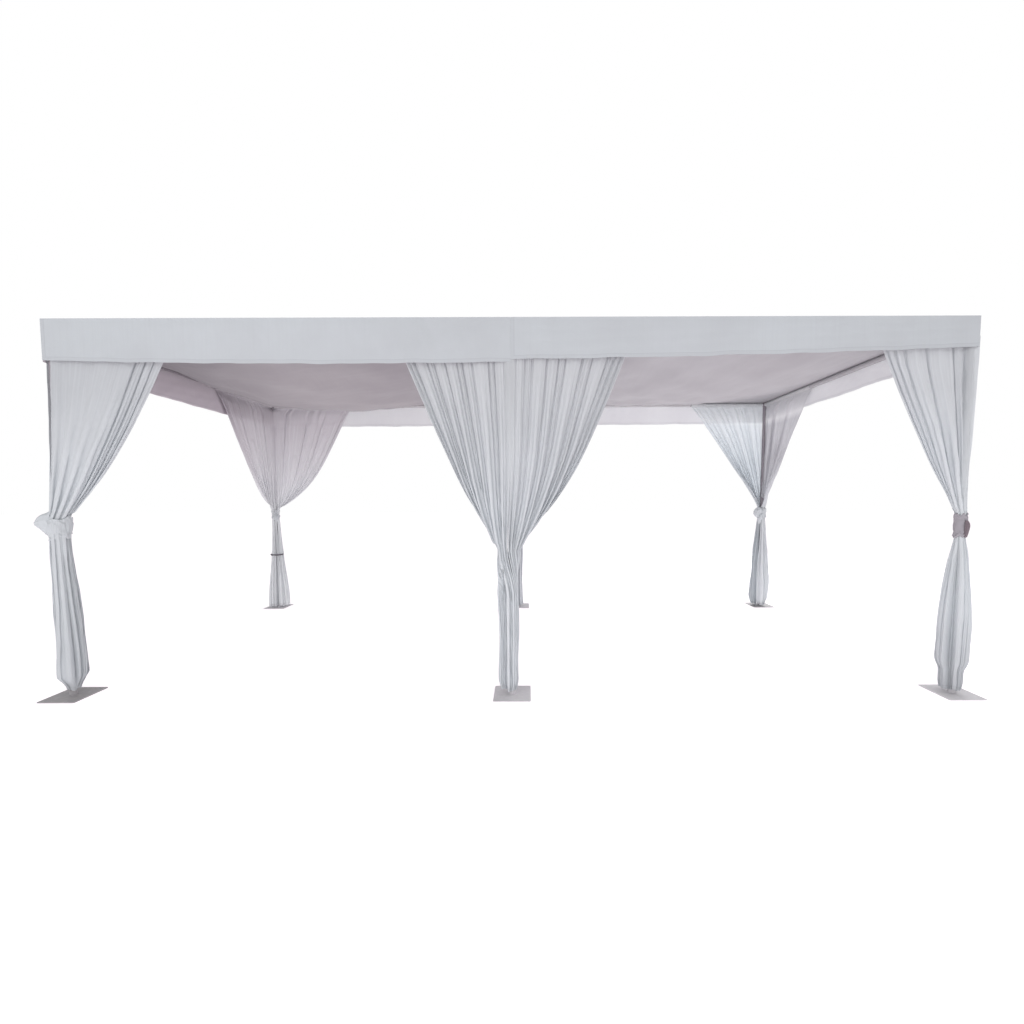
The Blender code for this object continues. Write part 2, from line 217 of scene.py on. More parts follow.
def smooth_line(steps: np.ndarray, values: np.ndarray) -> np.ndarray:
    """Pass a soft curve through values that stand at whole steps.

    Args:
        steps: Places to read the curve at, counted in steps.
        values: The value at each whole step.

    Returns:
        The value at each place.
    """
    slope = np.gradient(values)
    low = np.clip(steps.astype(int), 0, len(values) - 2)
    t = steps - low
    a, b, m, n = values[low], values[low + 1], slope[low], slope[low + 1]
    return ((2 * t ** 3 - 3 * t ** 2 + 1) * a + (t ** 3 - 2 * t ** 2 + t) * m
            + (3 * t ** 2 - 2 * t ** 3) * b + (t ** 3 - t ** 2) * n)


def write_back(shape: bmesh.types.BMesh, mesh: bpy.types.Mesh) -> None:
    """Turn the faces of a shape outward, smooth them and put them back into a mesh.

    Args:
        shape: The edited shape, which is freed.
        mesh: Where it goes.
    """
    bmesh.ops.recalc_face_normals(shape, faces=shape.faces)
    for face in shape.faces:
        face.smooth = True
    shape.to_mesh(mesh)
    shape.free()


def weld(piece: bpy.types.Object, caps: bool = False) -> None:
    """Join the ends of a tube-like mesh.

    Args:
        piece: The tube.
        caps: Whether open ends are closed too.
    """
    shape = bmesh.new()
    shape.from_mesh(piece.data)
    bmesh.ops.remove_doubles(shape, verts=shape.verts, dist=MERGE_DISTANCE)
    if caps:
        bmesh.ops.holes_fill(shape, edges=[edge for edge in shape.edges if edge.is_boundary])
    write_back(shape, piece.data)


def line_with(piece: bpy.types.Object, lining: bpy.types.Material, step: np.ndarray) -> None:
    """Close a sheet with a lining a small step behind it.

    Args:
        piece: A sheet made of one grid of faces.
        lining: Finish of the lining.
        step: From the sheet to its lining, in metres.
    """
    mesh = piece.data
    mesh.materials.append(lining)
    shape = bmesh.new()
    shape.from_mesh(mesh)
    rim = [edge for edge in shape.edges if edge.is_boundary]
    copy = bmesh.ops.duplicate(shape, geom=list(shape.faces))
    back = [item for item in copy["geom"] if isinstance(item, bmesh.types.BMFace)]
    matching = copy["vert_map"]
    for face in back:
        face.material_index = 1
    for vertex in {corner for face in back for corner in face.verts}:
        vertex.co += Vector(step)
    bmesh.ops.reverse_faces(shape, faces=back)
    for edge in rim:
        a, b = edge.verts
        shape.faces.new((b, a, matching[a], matching[b])).material_index = 1
        edge.smooth = False
    write_back(shape, mesh)


def place_piece(piece: bpy.types.Object, slot: str, *nodes: str) -> bpy.types.Object:
    """Let a piece ride on the tent, in place of some CAD nodes.

    Args:
        piece: The piece.
        slot: Its material slot; not used.
        nodes: The CAD nodes that it stands for.

    Returns:
        The same piece.
    """
    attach(piece, BODY)
    if nodes:
        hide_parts(*nodes)
    LOG.info("%s: %d faces", piece.name, len(piece.data.polygons))
    return piece


class NodeTree:
    """Short ways to add and join the nodes of one material."""

    def __init__(self, name: str) -> None:
        """Start a material with a lone shader on its output.

        Args:
            name: Name of the material.
        """
        self.material = bpy.data.materials.new(name)
        self.material.use_nodes = True
        self.tree = self.material.node_tree
        self.tree.nodes.clear()
        self.output = self.tree.nodes.new("ShaderNodeOutputMaterial")
        self.shader = self.tree.nodes.new("ShaderNodeBsdfPrincipled")
        self.join(self.shader.outputs["BSDF"], self.output.inputs["Surface"])

    def join(self, source: bpy.types.NodeSocket, target: bpy.types.NodeSocket) -> None:
        """Link an output to an input."""
        self.tree.links.new(source, target)

    def feed(self, socket: bpy.types.NodeSocket, value: object) -> None:
        """Link an output to an input, or set the input to a value.

        Args:
            socket: The input.
            value: An output, or what the input is set to.
        """
        if isinstance(value, bpy.types.NodeSocket):
            self.join(value, socket)
        else:
            socket.default_value = value

    def give(self, node: bpy.types.Node, **values: object) -> bpy.types.Node:
        """Set up a node.

        Args:
            node: The node.
            values: Its properties, or its inputs by name with _ for a space.

        Returns:
            The same node.
        """
        for key, value in values.items():
            if hasattr(node, key):
                setattr(node, key, value)
            else:
                self.feed(node.inputs[key.replace("_", " ")], value)
        return node

    def add(self, kind: str, **values: object) -> bpy.types.Node:
        """Add a node and set it up.

        Args:
            kind: Type of the node, without its ShaderNode prefix.
            values: Its properties, or its inputs by name with _ for a space.

        Returns:
            The new node.
        """
        return self.give(self.tree.nodes.new("ShaderNode" + kind), **values)

    def noise(self, place: bpy.types.NodeSocket, scale: float, detail: float,
              roughness: float) -> bpy.types.NodeSocket:
        """Add a noise texture.

        Args:
            place: Where it is read.
            scale: How many of its features lie in one metre.
            detail: How many finer layers it has.
            roughness: How strong these are.

        Returns:
            Its value, from 0 to 1.
        """
        node = self.add("TexNoise", Vector=place, Scale=scale, Detail=detail, Roughness=roughness)
        return node.outputs["Fac"]

    def math(self, operation: str, *values: object) -> bpy.types.NodeSocket:
        """Calculate with sockets or numbers.

        Args:
            operation: Name of the operation.
            values: What it works on.

        Returns:
            The result.
        """
        node = self.add("Math", operation=operation)
        for socket, value in zip(node.inputs, values):
            self.feed(socket, value)
        return node.outputs[0]

    def ramp(self, source: bpy.types.NodeSocket, low: float, high: float,
             start: float = 0.0, end: float = 1.0) -> bpy.types.NodeSocket:
        """Map low to high onto start to end, held at the ends.

        Args:
            source: The value.
            low: Where it starts to count.
            high: Where it stops.
            start: Result at low.
            end: Result at high.

        Returns:
            The mapped value.
        """
        node = self.add("MapRange", Value=source, From_Min=low, From_Max=high, To_Min=start, To_Max=end)
        return node.outputs[0]

    def blend(self, share: object, first: object, second: object) -> bpy.types.NodeSocket:
        """Mix two colours.

        Args:
            share: How much of the second, from 0 to 1.
            first: A colour or the socket of one.
            second: The same.

        Returns:
            The mixed colour.
        """
        node = self.add("Mix", data_type="RGBA")
        for number, value in ((0, share), (6, first), (7, second)):
            self.feed(node.inputs[number], (*value, 1.0) if isinstance(value, tuple) else value)
        return node.outputs[2]


@dataclass(frozen=True)
class Fade:
    """Painted light and shade: a second colour that a cloth takes on from one place to another along an
    axis.
    """

    axis: str
    low: float
    high: float
    colour: tuple[float, float, float]


@dataclass(frozen=True)
class ClothFinish:
    """Plain woven cloth, with its weave, hems, crinkle, soil, light and shade painted along an axis, and the
    light that comes through it.
    """

    name: str
    colour: tuple[float, float, float]
    shade: tuple[float, float, float]
    through: float
    crinkle: float
    fades: tuple[Fade, ...] = ()
    hem: float = 0.028
    weave: float = 0.0016
    roughness: float = 0.88
    sheen: float = 0.12

    HEM_COLOUR = (0.26, 0.26, 0.29)
    # Painted shade in the gaps between the threads
    GAP_SHADE_COLOUR = (0.30, 0.30, 0.32)
    THREAD_RELIEF = 0.02
    SPREAD = 0.05

    def build(self) -> bpy.types.Material:
        """Make the material: matt cloth mixed with light that comes through it.

        Returns:
            The material.
        """
        nodes = NodeTree(self.name)
        cloth = nodes.add("UVMap", uv_map="cloth").outputs["UV"]
        space = nodes.add("TexCoord").outputs["Object"]
        weave = self._weave(nodes, cloth)
        crinkle = nodes.noise(cloth, 16.0, 3.0, 0.5)
        patches = nodes.noise(space, 1.3, 5.0, 0.55)
        stretched = nodes.add("Mapping", Vector=cloth, Scale=(55.0, 1.2, 1.0)).outputs["Vector"]
        streaks = nodes.noise(stretched, 1.0, 3.0, 0.6)
        colour = nodes.blend(nodes.ramp(patches, 0.35, 0.70), self.colour, self.shade)
        # Fades paint light and shade into the colour along one axis
        for fade in self.fades:
            place = nodes.add("SeparateXYZ", Vector=space).outputs[fade.axis]
            colour = nodes.blend(nodes.ramp(place, fade.low, fade.high), colour, fade.colour)
        colour = nodes.blend(nodes.ramp(streaks, 0.45, 0.75, 0.0, 0.35), colour, self.shade)
        colour = nodes.blend(self._hem(nodes, cloth), colour, self.HEM_COLOUR)
        # Darker between the threads: painted shade
        colour = nodes.blend(nodes.ramp(weave, 0.0, 1.0, 0.10, 0.0), colour, self.GAP_SHADE_COLOUR)
        height = nodes.math("ADD", nodes.math("MULTIPLY", crinkle, self.crinkle),
                            nodes.math("MULTIPLY", weave, self.THREAD_RELIEF))
        relief = nodes.add("Bump", Strength=0.55, Distance=0.004, Height=height).outputs["Normal"]
        rough = nodes.ramp(patches, 0.3, 0.7, self.roughness - self.SPREAD, self.roughness + self.SPREAD)
        nodes.give(nodes.shader, Base_Color=colour, Normal=relief, Roughness=rough,
                   Sheen_Weight=self.sheen, Sheen_Roughness=0.5, Specular_IOR_Level=0.25)
        behind = nodes.add("BsdfTranslucent", Color=colour, Normal=relief)
        both = nodes.add("MixShader", Fac=self.through)
        nodes.join(nodes.shader.outputs["BSDF"], both.inputs[1])
        nodes.join(behind.outputs["BSDF"], both.inputs[2])
        nodes.join(both.outputs[0], nodes.output.inputs["Surface"])
        return nodes.material

    def _weave(self, nodes: NodeTree, cloth: bpy.types.NodeSocket) -> bpy.types.NodeSocket:
        """Height of the threads.

        Args:
            nodes: The material's nodes.
            cloth: Place on the cloth.

        Returns:
            From 0 between the threads to 1 on their crowns.
        """
        split = nodes.add("SeparateXYZ", Vector=cloth)
        rate = TURN / self.weave
        warp = nodes.math("SINE", nodes.math("MULTIPLY", split.outputs["X"], rate))
        weft = nodes.math("SINE", nodes.math("MULTIPLY", split.outputs["Y"], rate))
        crossing = nodes.math("MULTIPLY", warp, weft)
        return nodes.math("MULTIPLY_ADD", crossing, 0.5, 0.5)

    def _hem(self, nodes: NodeTree, cloth: bpy.types.NodeSocket) -> bpy.types.NodeSocket:
        """Darkening of the doubled hems and of the stitching beside them.

        Args:
            nodes: The material's nodes.
            cloth: Place on the cloth.

        Returns:
            Share of the hem's colour.
        """
        split = nodes.add("SeparateXYZ", Vector=cloth)
        nearest = nodes.math("MINIMUM", split.outputs["X"], split.outputs["Y"])
        doubled = nodes.ramp(nearest, self.hem - 0.001, self.hem + 0.001, 0.06, 0.0)
        away = nodes.math("ABSOLUTE", nodes.math("SUBTRACT", nearest, self.hem))
        return nodes.math("ADD", doubled, nodes.ramp(away, 0.0, 0.004, 0.20, 0.0))


@dataclass(frozen=True)
class MetalFinish:
    """Metal with brushing, scuffs and dust."""

    name: str
    colour: tuple[float, float, float]
    worn: tuple[float, float, float]
    roughness: float
    metallic: float
    dust: float

    DUST_COLOUR = (0.42, 0.40, 0.38)

    def build(self) -> bpy.types.Material:
        """Make the material: metal worn in spots, under patches of dust.

        Returns:
            The material.
        """
        nodes = NodeTree(self.name)
        space = nodes.add("TexCoord").outputs["Object"]
        brushed = nodes.add("Mapping", Vector=space, Scale=(90.0, 90.0, 3.0)).outputs["Vector"]
        lines = nodes.noise(brushed, 1.0, 4.0, 0.7)
        scuffs = nodes.noise(space, 24.0, 8.0, 0.7)
        soil = nodes.noise(space, 5.0, 6.0, 0.6)
        colour = nodes.blend(nodes.ramp(scuffs, 0.50, 0.68), self.colour, self.worn)
        colour = nodes.blend(nodes.ramp(soil, 0.45, 0.75, 0.0, self.dust), colour, self.DUST_COLOUR)
        height = nodes.math("ADD", nodes.math("MULTIPLY", lines, 0.3), nodes.math("MULTIPLY", scuffs, 0.5))
        relief = nodes.add("Bump", Strength=0.25, Distance=0.001, Height=height).outputs["Normal"]
        rough = nodes.ramp(scuffs, 0.3, 0.7, self.roughness - 0.08, self.roughness + 0.12)
        nodes.give(nodes.shader, Base_Color=colour, Normal=relief, Roughness=rough, Metallic=self.metallic)
        return nodes.material


@dataclass(frozen=True)
class FloorFinish:
    """Plain pale studio floor."""

    name: str = "studio_floor"
    colour: tuple[float, float, float] = (0.93, 0.93, 0.93)
    glow: float = 0.50

    def build(self) -> bpy.types.Material:
        """Make the material, which glows a little like a light table.

        Returns:
            The material.
        """
        nodes = NodeTree(self.name)
        nodes.give(nodes.shader, Base_Color=(*self.colour, 1.0), Emission_Color=(1.0, 0.90, 0.95, 1.0),
                   Emission_Strength=self.glow, Roughness=0.9, Specular_IOR_Level=0.1)
        return nodes.material


class Hang(Enum):
    """Which way the curtains of a post close round it."""

    OUTSIDE = "outside"
    INSIDE = "inside"


@dataclass(frozen=True)
class Slit:
    """A deep gap in a leg: its azimuth and width in degrees, and how far it is drawn in."""

    azimuth: float
    width: float
    depth: float


@dataclass(frozen=True)
class Leg:
    """The bunched cloth below a tie, as heights and radii from the tie down to the hem."""

    heights: tuple[float, ...]
    radii: tuple[float, ...]
    twist: float = 0.0
    hem_wave: float = 0.02
    relief: float = 1.0
    shift: tuple[float, ...] = (0.0, 0.0)
    slits: tuple[Slit, ...] = ()


@dataclass(frozen=True)
class Post:
    """An upright with the curtains gathered round it."""

    name: str
    column: int
    row: int
    waist_top: float
    waist_bottom: float
    waist_radius: float
    leg: Leg
    hang: Hang = Hang.OUTSIDE

    @property
    def centre(self) -> Vector:
        """Foot of the upright."""
        return Vector((self.column * BAY_WIDTH, self.row * DEPTH / 2, 0.0))


@dataclass(frozen=True)
class Panel:
    """One curtain: its side of the post, reach, folds and flat size."""

    post: str
    side: str
    reach: float
    bend: float
    flat_width: float
    pleats: tuple[float, ...]
    fine: float
    seed: int
    near_edge: float = -0.008
    pleat_width: float = 0.036
    belly: float = 0.0
    rows: int = 80
    lift: float = 0.05


@dataclass(frozen=True)
class Folds:
    """The folds of a panel, and the columns of its grid that lie in them.

    Attributes:
        flat: Flat share of each fold.
        pleat: 1 for a narrow pleat, 0 for the broad cloth between two.
        uneven: How much more or less than its due each fold takes.
        fold: Number of the fold at each column.
        phase: Place of each column in its fold, from 0 to 1.
    """

    flat: np.ndarray
    pleat: np.ndarray
    uneven: np.ndarray
    fold: np.ndarray
    phase: np.ndarray

    # Hung over flat width of a closed pleat, and the most of the whole panel's that it may be
    CLOSED = 0.46
    CLOSED_SHARE = 0.92
    # Hung over flat width of the broad cloth until the pleats have closed
    BROAD_SHARE = 0.97

    def spread(self, shares: np.ndarray) -> np.ndarray:
        """Place of each column when the folds take these shares."""
        edges = np.concatenate([[0], np.cumsum(shares)])
        return edges[self.fold] + shares[self.fold] * self.phase

    def hung(self, narrowed: float, uneven: np.ndarray) -> np.ndarray:
        """Share of the hung width that each fold takes: the pleats close first.

        Args:
            narrowed: Hung width over flat width of the whole panel at one height.
            uneven: How much more or less than its due each fold takes there.

        Returns:
            Shares that add up to 1.
        """
        pleated = float(self.flat[self.pleat > 0.5].sum())
        closed = min(self.CLOSED, self.CLOSED_SHARE * narrowed)
        tight = float(np.clip((narrowed - (1 - pleated) * self.BROAD_SHARE) / pleated, closed, 1.0))
        rest = (narrowed - pleated * tight) / (1 - pleated)
        shares = self.flat * (self.pleat * tight + (1 - self.pleat) * rest) * uneven
        return shares / shares.sum()


@dataclass(frozen=True)
class Row:
    """One row of a curtain below its pocket.

    Attributes:
        height: Height of the row.
        radius: Outer radius of the bunch there.
        down: Share of the way from the rail to the waist.
        bunched: From 0 in the fan to 1 in the bunch.
        settled: From 0 at the pocket to 1 below it.
        room: Room between the outline of the bunch and the upright.
    """

    height: float
    radius: float
    down: float
    bunched: float
    settled: float
    room: float


@dataclass
class Curtain:
    """A curtain panel with a pocket round the rail, a fan of folds down to its tie and a leg."""

    post: Post
    panel: Panel
    material: bpy.types.Material
    columns_per_fold: int = 12
    pocket_rows: int = 9
    waist_rows: int = 12
    leg_rows: int = 44
    start: float = 0.035
    seam_gap: float = math.radians(2)

    # Metres: how far the pocket lies inside its widest radius, its puckers and the gap below it
    POCKET_INSET = 0.0012
    PUCKER = 0.0016
    STITCH_GAP = 0.002
    # Degrees: where the pocket starts round the rail, how far it goes, and the seams of the bunches
    POCKET_START = 265
    POCKET_TURN = 345
    CORNER_SEAM = 135
    MIDDLE_SEAM = 90
    # Metres below the rail over which the near edge closes in, the panel settles and its folds open
    CLOSING = (0.0, 0.12)
    SETTLING = (0.02, 0.14)
    OPENING = (-0.002, 0.10)
    # Metres below the waist over which the folds calm down, the leg twists, is slit and gets its hem
    CALMING = (-0.35, 0.15)
    TWISTING = (-0.10, 0.30)
    SLITTING = (-0.02, 0.22)
    HEMMING = (0.0, 0.5)
    # Share of the way down to the waist over which the fan turns into a bunch
    BUNCHING = (0.55, 1.0)
    BELLY_POWER = 6
    # Metres over which a lean dies out above the waist, and height at which it is complete below
    LEAN_FADE = 0.9
    LEAN_FOOT = 0.2
    # Metres: the folds outside the rail's middle, the least room round the upright, the wrinkles
    PLANE = 0.004
    LEAST_ROOM = 0.004
    WRINKLE = 0.0010
    # Metres: least depth of a broad fold, and length of the heading above the deeper ones
    LEAST_FOLD = 0.010
    HEADING = 0.34
    # Shares of its depth and of its sideways drift that a fold has at the pocket
    POCKET_DEPTH = 0.30
    POCKET_DRIFT = 0.4
    # Metres: how far cloth may stand out at the waist, how that grows beside it and over what height
    WAIST_CAP = 0.002
    CAP_GROWTH = 0.05
    CAP_HEIGHT = 0.10
    # Share that is kept of what stands out further
    CAP_EXCESS = 0.15
    # Shares of the crests that lie inside the middle line, in the fan and in the bunch
    FAN_LEVEL = 0.5
    BUNCH_LEVEL = 0.85
    # Shares of the width: bells beside the post, and the part that has to clear the upright
    NEAR_LINE = 0.10
    NEAR_FOLDS = 0.09
    NEAR_SHARE = 0.4
    # How much flatter the cloth lies beside the post
    FLATTENING = 0.85
    # Shares by which folds drift sideways, deepen and make the bunch bulge, and how their height counts
    DRIFT = 0.10
    DEEPENING = 0.12
    BULGE = 0.07
    CHANGE_RATE = 0.35
    # How far the drift and the depth move on from fold to fold
    DRIFT_STEP = 0.61
    DEPTH_STEP = 0.83
    # Drawn folds: sizes of the pleats, shortest stretch between two, spreads of the widths and hangs
    PLEAT_SIZES = (0.75, 1.15)
    SHORTEST = 0.001
    WIDTH_SPREAD = 0.28
    UNEVEN_SPREAD = 0.10
    # Points that measure the middle line, and those that smooth the outline of the bunch
    LINE_POINTS = 60
    OUTLINE_POINTS = 400
    SMOOTHING = 17
    # Share of the line over which its slope is read, and lengths that keep divisions safe
    SLOPE_STEP = 0.002
    SHORT = 1e-4
    TINY = 1e-6
    NOTHING = 1e-9

    @property
    def name(self) -> str:
        """Name of the piece."""
        return f"drape_{self.post.name}_{self.panel.side}"

    @property
    def node(self) -> str:
        """CAD node that the curtain stands for."""
        return f"curtain_{self.post.name}_{self.panel.side}"

    @cached_property
    def sway(self) -> Ripple:
        """Sideways drift of the folds."""
        return Ripple(self.panel.seed + 5, (2.3, 1.7, 1.1), 2)

    @cached_property
    def depth_change(self) -> Ripple:
        """How the depth of the folds varies."""
        return Ripple(self.panel.seed + 9, (2.1, 1.6, 1.2), 2)

    @cached_property
    def round_change(self) -> Ripple:
        """How the outline of the bunch varies."""
        return Ripple(self.panel.seed + 13, (2.3, 1.6, 1.1), 2)

    @cached_property
    def wrinkle(self) -> Ripple:
        """Small wrinkles of the cloth."""
        return Ripple(self.panel.seed + 17, (0.19, 0.13, 0.09, 0.07), 2)

    @cached_property
    def folds(self) -> Folds:
        """Folds of the panel, drawn at random between its narrow pleats.

        Returns:
            The folds, from the post to the free edge.
        """
        panel = self.panel
        draw = np.random.default_rng(panel.seed)
        half = panel.pleat_width / panel.flat_width / 2
        flat, pleat, place = [], [], 0.0
        for centre in (*panel.pleats, 1.0 + half):
            size = half * draw.uniform(*self.PLEAT_SIZES)
            stretch = min(centre - size, 1.0) - place
            if stretch > self.SHORTEST:
                count = max(1, round(stretch * panel.flat_width / panel.fine))
                widths = draw.lognormal(0.0, self.WIDTH_SPREAD, count)
                flat.extend(widths / widths.sum() * stretch)
                pleat.extend([0.0] * count)
                place += stretch
            if centre < 1.0:
                end = min(centre + size, 1.0)
                flat.append(end - place)
                pleat.append(1.0)
                place = end
        flat = np.array(flat)
        count, per = len(flat), self.columns_per_fold
        fold = np.append(np.repeat(np.arange(count), per), count - 1)
        phase = np.append(np.tile(np.arange(per) / per, count), 1.0)
        uneven = draw.lognormal(0.0, self.UNEVEN_SPREAD, count)
        return Folds(flat / flat.sum(), np.array(pleat), uneven, fold, phase)

    def directions(self) -> tuple[np.ndarray, np.ndarray]:
        """Axes of the panel's plan.

        Returns:
            Unit vectors along the rail, away from the post, and outward from the tent.
        """
        post, side = self.post, self.panel.side
        if side == "side":
            return np.array([0.0, -post.row, 0.0]), np.array([float(post.column), 0.0, 0.0])
        along = {"left": -1.0, "right": 1.0}.get(side, -float(post.column))
        return np.array([along, 0.0, 0.0]), np.array([0.0, float(post.row), 0.0])

    def heights(self) -> np.ndarray:
        """Heights of the rows below the pocket.

        Returns:
            One for each row, from the rail to the hem.
        """
        top = RAIL_HEIGHT - POCKET_RADIUS - self.STITCH_GAP
        drape = np.linspace(top, self.post.waist_top, self.panel.rows + 1)
        waist = np.linspace(self.post.waist_top, self.post.waist_bottom, self.waist_rows + 1)
        leg = np.linspace(self.post.waist_bottom, self.post.leg.heights[-1], self.leg_rows + 1)
        return np.concatenate([drape, waist[1:], leg[1:]])

    def radius(self, height: np.ndarray) -> np.ndarray:
        """Outer radius of the bunch.

        Args:
            height: Heights to read it at.

        Returns:
            The radius at each height, with soft changes.
        """
        leg = self.post.leg
        known = np.array([self.post.waist_top, self.post.waist_bottom, *leg.heights])
        sizes = np.array([self.post.waist_radius, self.post.waist_radius, *leg.radii])
        fine = np.linspace(known[-1], known[0], self.OUTLINE_POINTS)
        line = np.pad(np.interp(fine, known[::-1], sizes[::-1]), self.SMOOTHING // 2, mode="edge")
        window = np.hanning(self.SMOOTHING)
        return np.interp(height, fine, np.convolve(line, window / window.sum(), mode="valid"))

    def lean(self, height: np.ndarray) -> np.ndarray:
        """Sideways shift of the bunch, at most what the upright leaves room for.

        Args:
            height: Heights to read it at.

        Returns:
            The shift at each height.
        """
        post = self.post
        waist, foot = post.leg.shift
        middle = (post.waist_top + post.waist_bottom) / 2
        above = smooth_step(height, middle, middle + self.LEAN_FADE)
        below = smooth_step(middle - height, 0.0, middle - self.LEAN_FOOT)
        return waist * (1 - above) * (1 - below) + foot * below

    def row_at(self, height: float, radius: float) -> Row:
        """Measure one row.

        Args:
            height: Height of the row.
            radius: Outer radius of the bunch there.

        Returns:
            The row.
        """
        down = np.clip((RAIL_HEIGHT - height) / (RAIL_HEIGHT - self.post.waist_top), 0, 1)
        settled = smooth_step(RAIL_HEIGHT - POCKET_RADIUS - height, *self.OPENING)
        room = max(radius - UPRIGHT_RADIUS - self.LEAST_ROOM, self.LEAST_ROOM)
        return Row(height, radius, down, smooth_step(down, *self.BUNCHING), settled, room)

    def mean_line(self, share: np.ndarray, row: Row) -> np.ndarray:
        """Places in plan along the middle of the cloth.

        Args:
            share: Hung share from the post, 0, to the free edge, 1.
            row: The row.

        Returns:
            Two columns: along the rail and outward.
        """
        post, panel = self.post, self.panel
        gathered = row.down ** panel.bend * (1 - panel.belly) + row.down ** self.BELLY_POWER * panel.belly
        closing = smooth_step(RAIL_HEIGHT - row.height, *self.CLOSING)
        settling = smooth_step(RAIL_HEIGHT - row.height, *self.SETTLING)
        near = bump(share, 0.0, self.NEAR_LINE)
        begin = self.start + (panel.near_edge - self.start) * closing
        front = UPRIGHT_RADIUS + CLEARANCE
        if post.hang is Hang.INSIDE:
            front = -front - CLEARANCE
        if panel.near_edge > UPRIGHT_RADIUS:
            front = self.PLANE
        plane = POCKET_RADIUS + (self.PLANE - POCKET_RADIUS) * settling
        hang = np.stack([begin + (panel.reach + self.start - begin) * share,
                         plane * (1 - near) + (plane + (front - plane) * closing) * near], axis=-1)
        seam = math.radians(self.CORNER_SEAM if post.column else self.MIDDLE_SEAM)
        arc = math.pi - 2 * self.seam_gap
        twist = post.leg.twist * smooth_step(post.waist_bottom - row.height, *self.TWISTING)
        turn = seam - self.seam_gap - arc * share + twist * (1 if self._clockwise() else -1)
        if post.hang is Hang.INSIDE:
            turn = seam - math.pi + self.seam_gap + arc * share
        wrap = row.radius * np.stack([np.cos(turn), np.sin(turn)], axis=-1)
        return hang * (1 - gathered) + wrap * gathered

    def build(self) -> bpy.types.Object:
        """Returns:
            The curtain.
        """
        panel, folds = self.panel, self.folds
        across = folds.spread(folds.flat) * panel.flat_width
        rows, lengths = self._pocket()
        length = lengths[-1]
        heights = self.heights()
        previous = heights[0]
        for height, radius in zip(heights, self.radius(heights)):
            length += abs(previous - height)
            previous = height
            rows.append(self._draw(self.row_at(height, radius), across))
            lengths.append(length)
        along, outward = self.directions()
        centre = np.array(self.post.centre)
        points = np.stack([
            centre + plan[:, :1] * along + plan[:, 1:] * outward + np.stack(
                [self.lean(z), np.zeros(len(z)), z], axis=-1) for plan, z in rows])
        down, right = np.meshgrid(lengths, across, indexing="ij")
        cloth = np.array([panel.flat_width, length]) - np.stack([right, down], axis=-1)
        piece = mesh_from_grid(self.name, points, cloth, self.material)
        place_piece(piece, "curtain_cloth", self.node)
        return piece

    def _clockwise(self) -> bool:
        """Whether along x outward points up, so that both panels of a post twist one way."""
        along, outward = self.directions()
        return float(np.cross(along, outward)[2]) > 0

    def _pocket(self) -> tuple[list, list[float]]:
        """Draw the pocket, from its stitching up over the rail and down again.

        Returns:
            Plan and heights of each of its rows, and how far along the cloth each lies.
        """
        folds, panel = self.folds, self.panel
        share = folds.spread(folds.hung(panel.reach / panel.flat_width, folds.uneven))
        run = self.start + panel.reach * share
        radius = POCKET_RADIUS - self.POCKET_INSET + self.PUCKER * (1 - np.cos(TURN * folds.phase))
        rows, lengths = [], []
        for step in range(self.pocket_rows):
            turn = math.radians(self.POCKET_START - self.POCKET_TURN * step / (self.pocket_rows - 1))
            plan = np.stack([run, radius * math.cos(turn)], axis=-1)
            rows.append((plan, RAIL_HEIGHT + radius * math.sin(turn)))
            lengths.append(POCKET_RADIUS * math.radians(self.POCKET_TURN) * step / (self.pocket_rows - 1))
        return rows, lengths

    def _draw(self, row: Row, across: np.ndarray) -> tuple[np.ndarray, np.ndarray]:
        """Draw one row with its folds, wrinkles, gaps and hem.

        Args:
            row: The row.
            across: Place of each column across the flat cloth.

        Returns:
            Plan and heights of the row.
        """
        plan = self._plan(row)
        low = smooth_step(self.post.waist_bottom - row.height, *self.HEMMING)
        wave = 0.5 + 0.5 * np.clip(self.round_change(across * 4, 0.3), -1, 1)
        offset = self.WRINKLE * self.wrinkle(across, row.height * 0.45)
        step = np.gradient(plan, axis=0)
        step /= np.linalg.norm(step, axis=1, keepdims=True) + self.NOTHING
        normal = np.stack([-step[:, 1], step[:, 0]], axis=-1)
        lift = low * self.post.leg.hem_wave * wave
        return self._slit(plan + normal * offset[:, None], row), row.height + lift

    def _slit(self, plan: np.ndarray, row: Row) -> np.ndarray:
        """Draw one row of the leg in towards the upright along its deep gaps.

        Args:
            plan: Two columns: along the rail and outward.
            row: The row.

        Returns:
            The plan with its gaps.
        """
        along, outward = self.directions()
        east = plan[:, 0] * along[0] + plan[:, 1] * outward[0]
        north = plan[:, 0] * along[1] + plan[:, 1] * outward[1]
        turn = np.arctan2(north, east)
        room = np.clip(1 - (UPRIGHT_RADIUS + CLEARANCE) / np.linalg.norm(plan, axis=1), 0, 1)
        below = smooth_step(self.post.waist_bottom - row.height, *self.SLITTING)
        drawn = np.zeros(len(plan))
        for slit in self.post.leg.slits:
            apart = np.angle(np.exp(1j * (turn - math.radians(slit.azimuth))))
            drawn = np.maximum(drawn, slit.depth * bump(apart, 0.0, math.radians(slit.width)))
        return plan * (1 - drawn * room * below)[:, None]

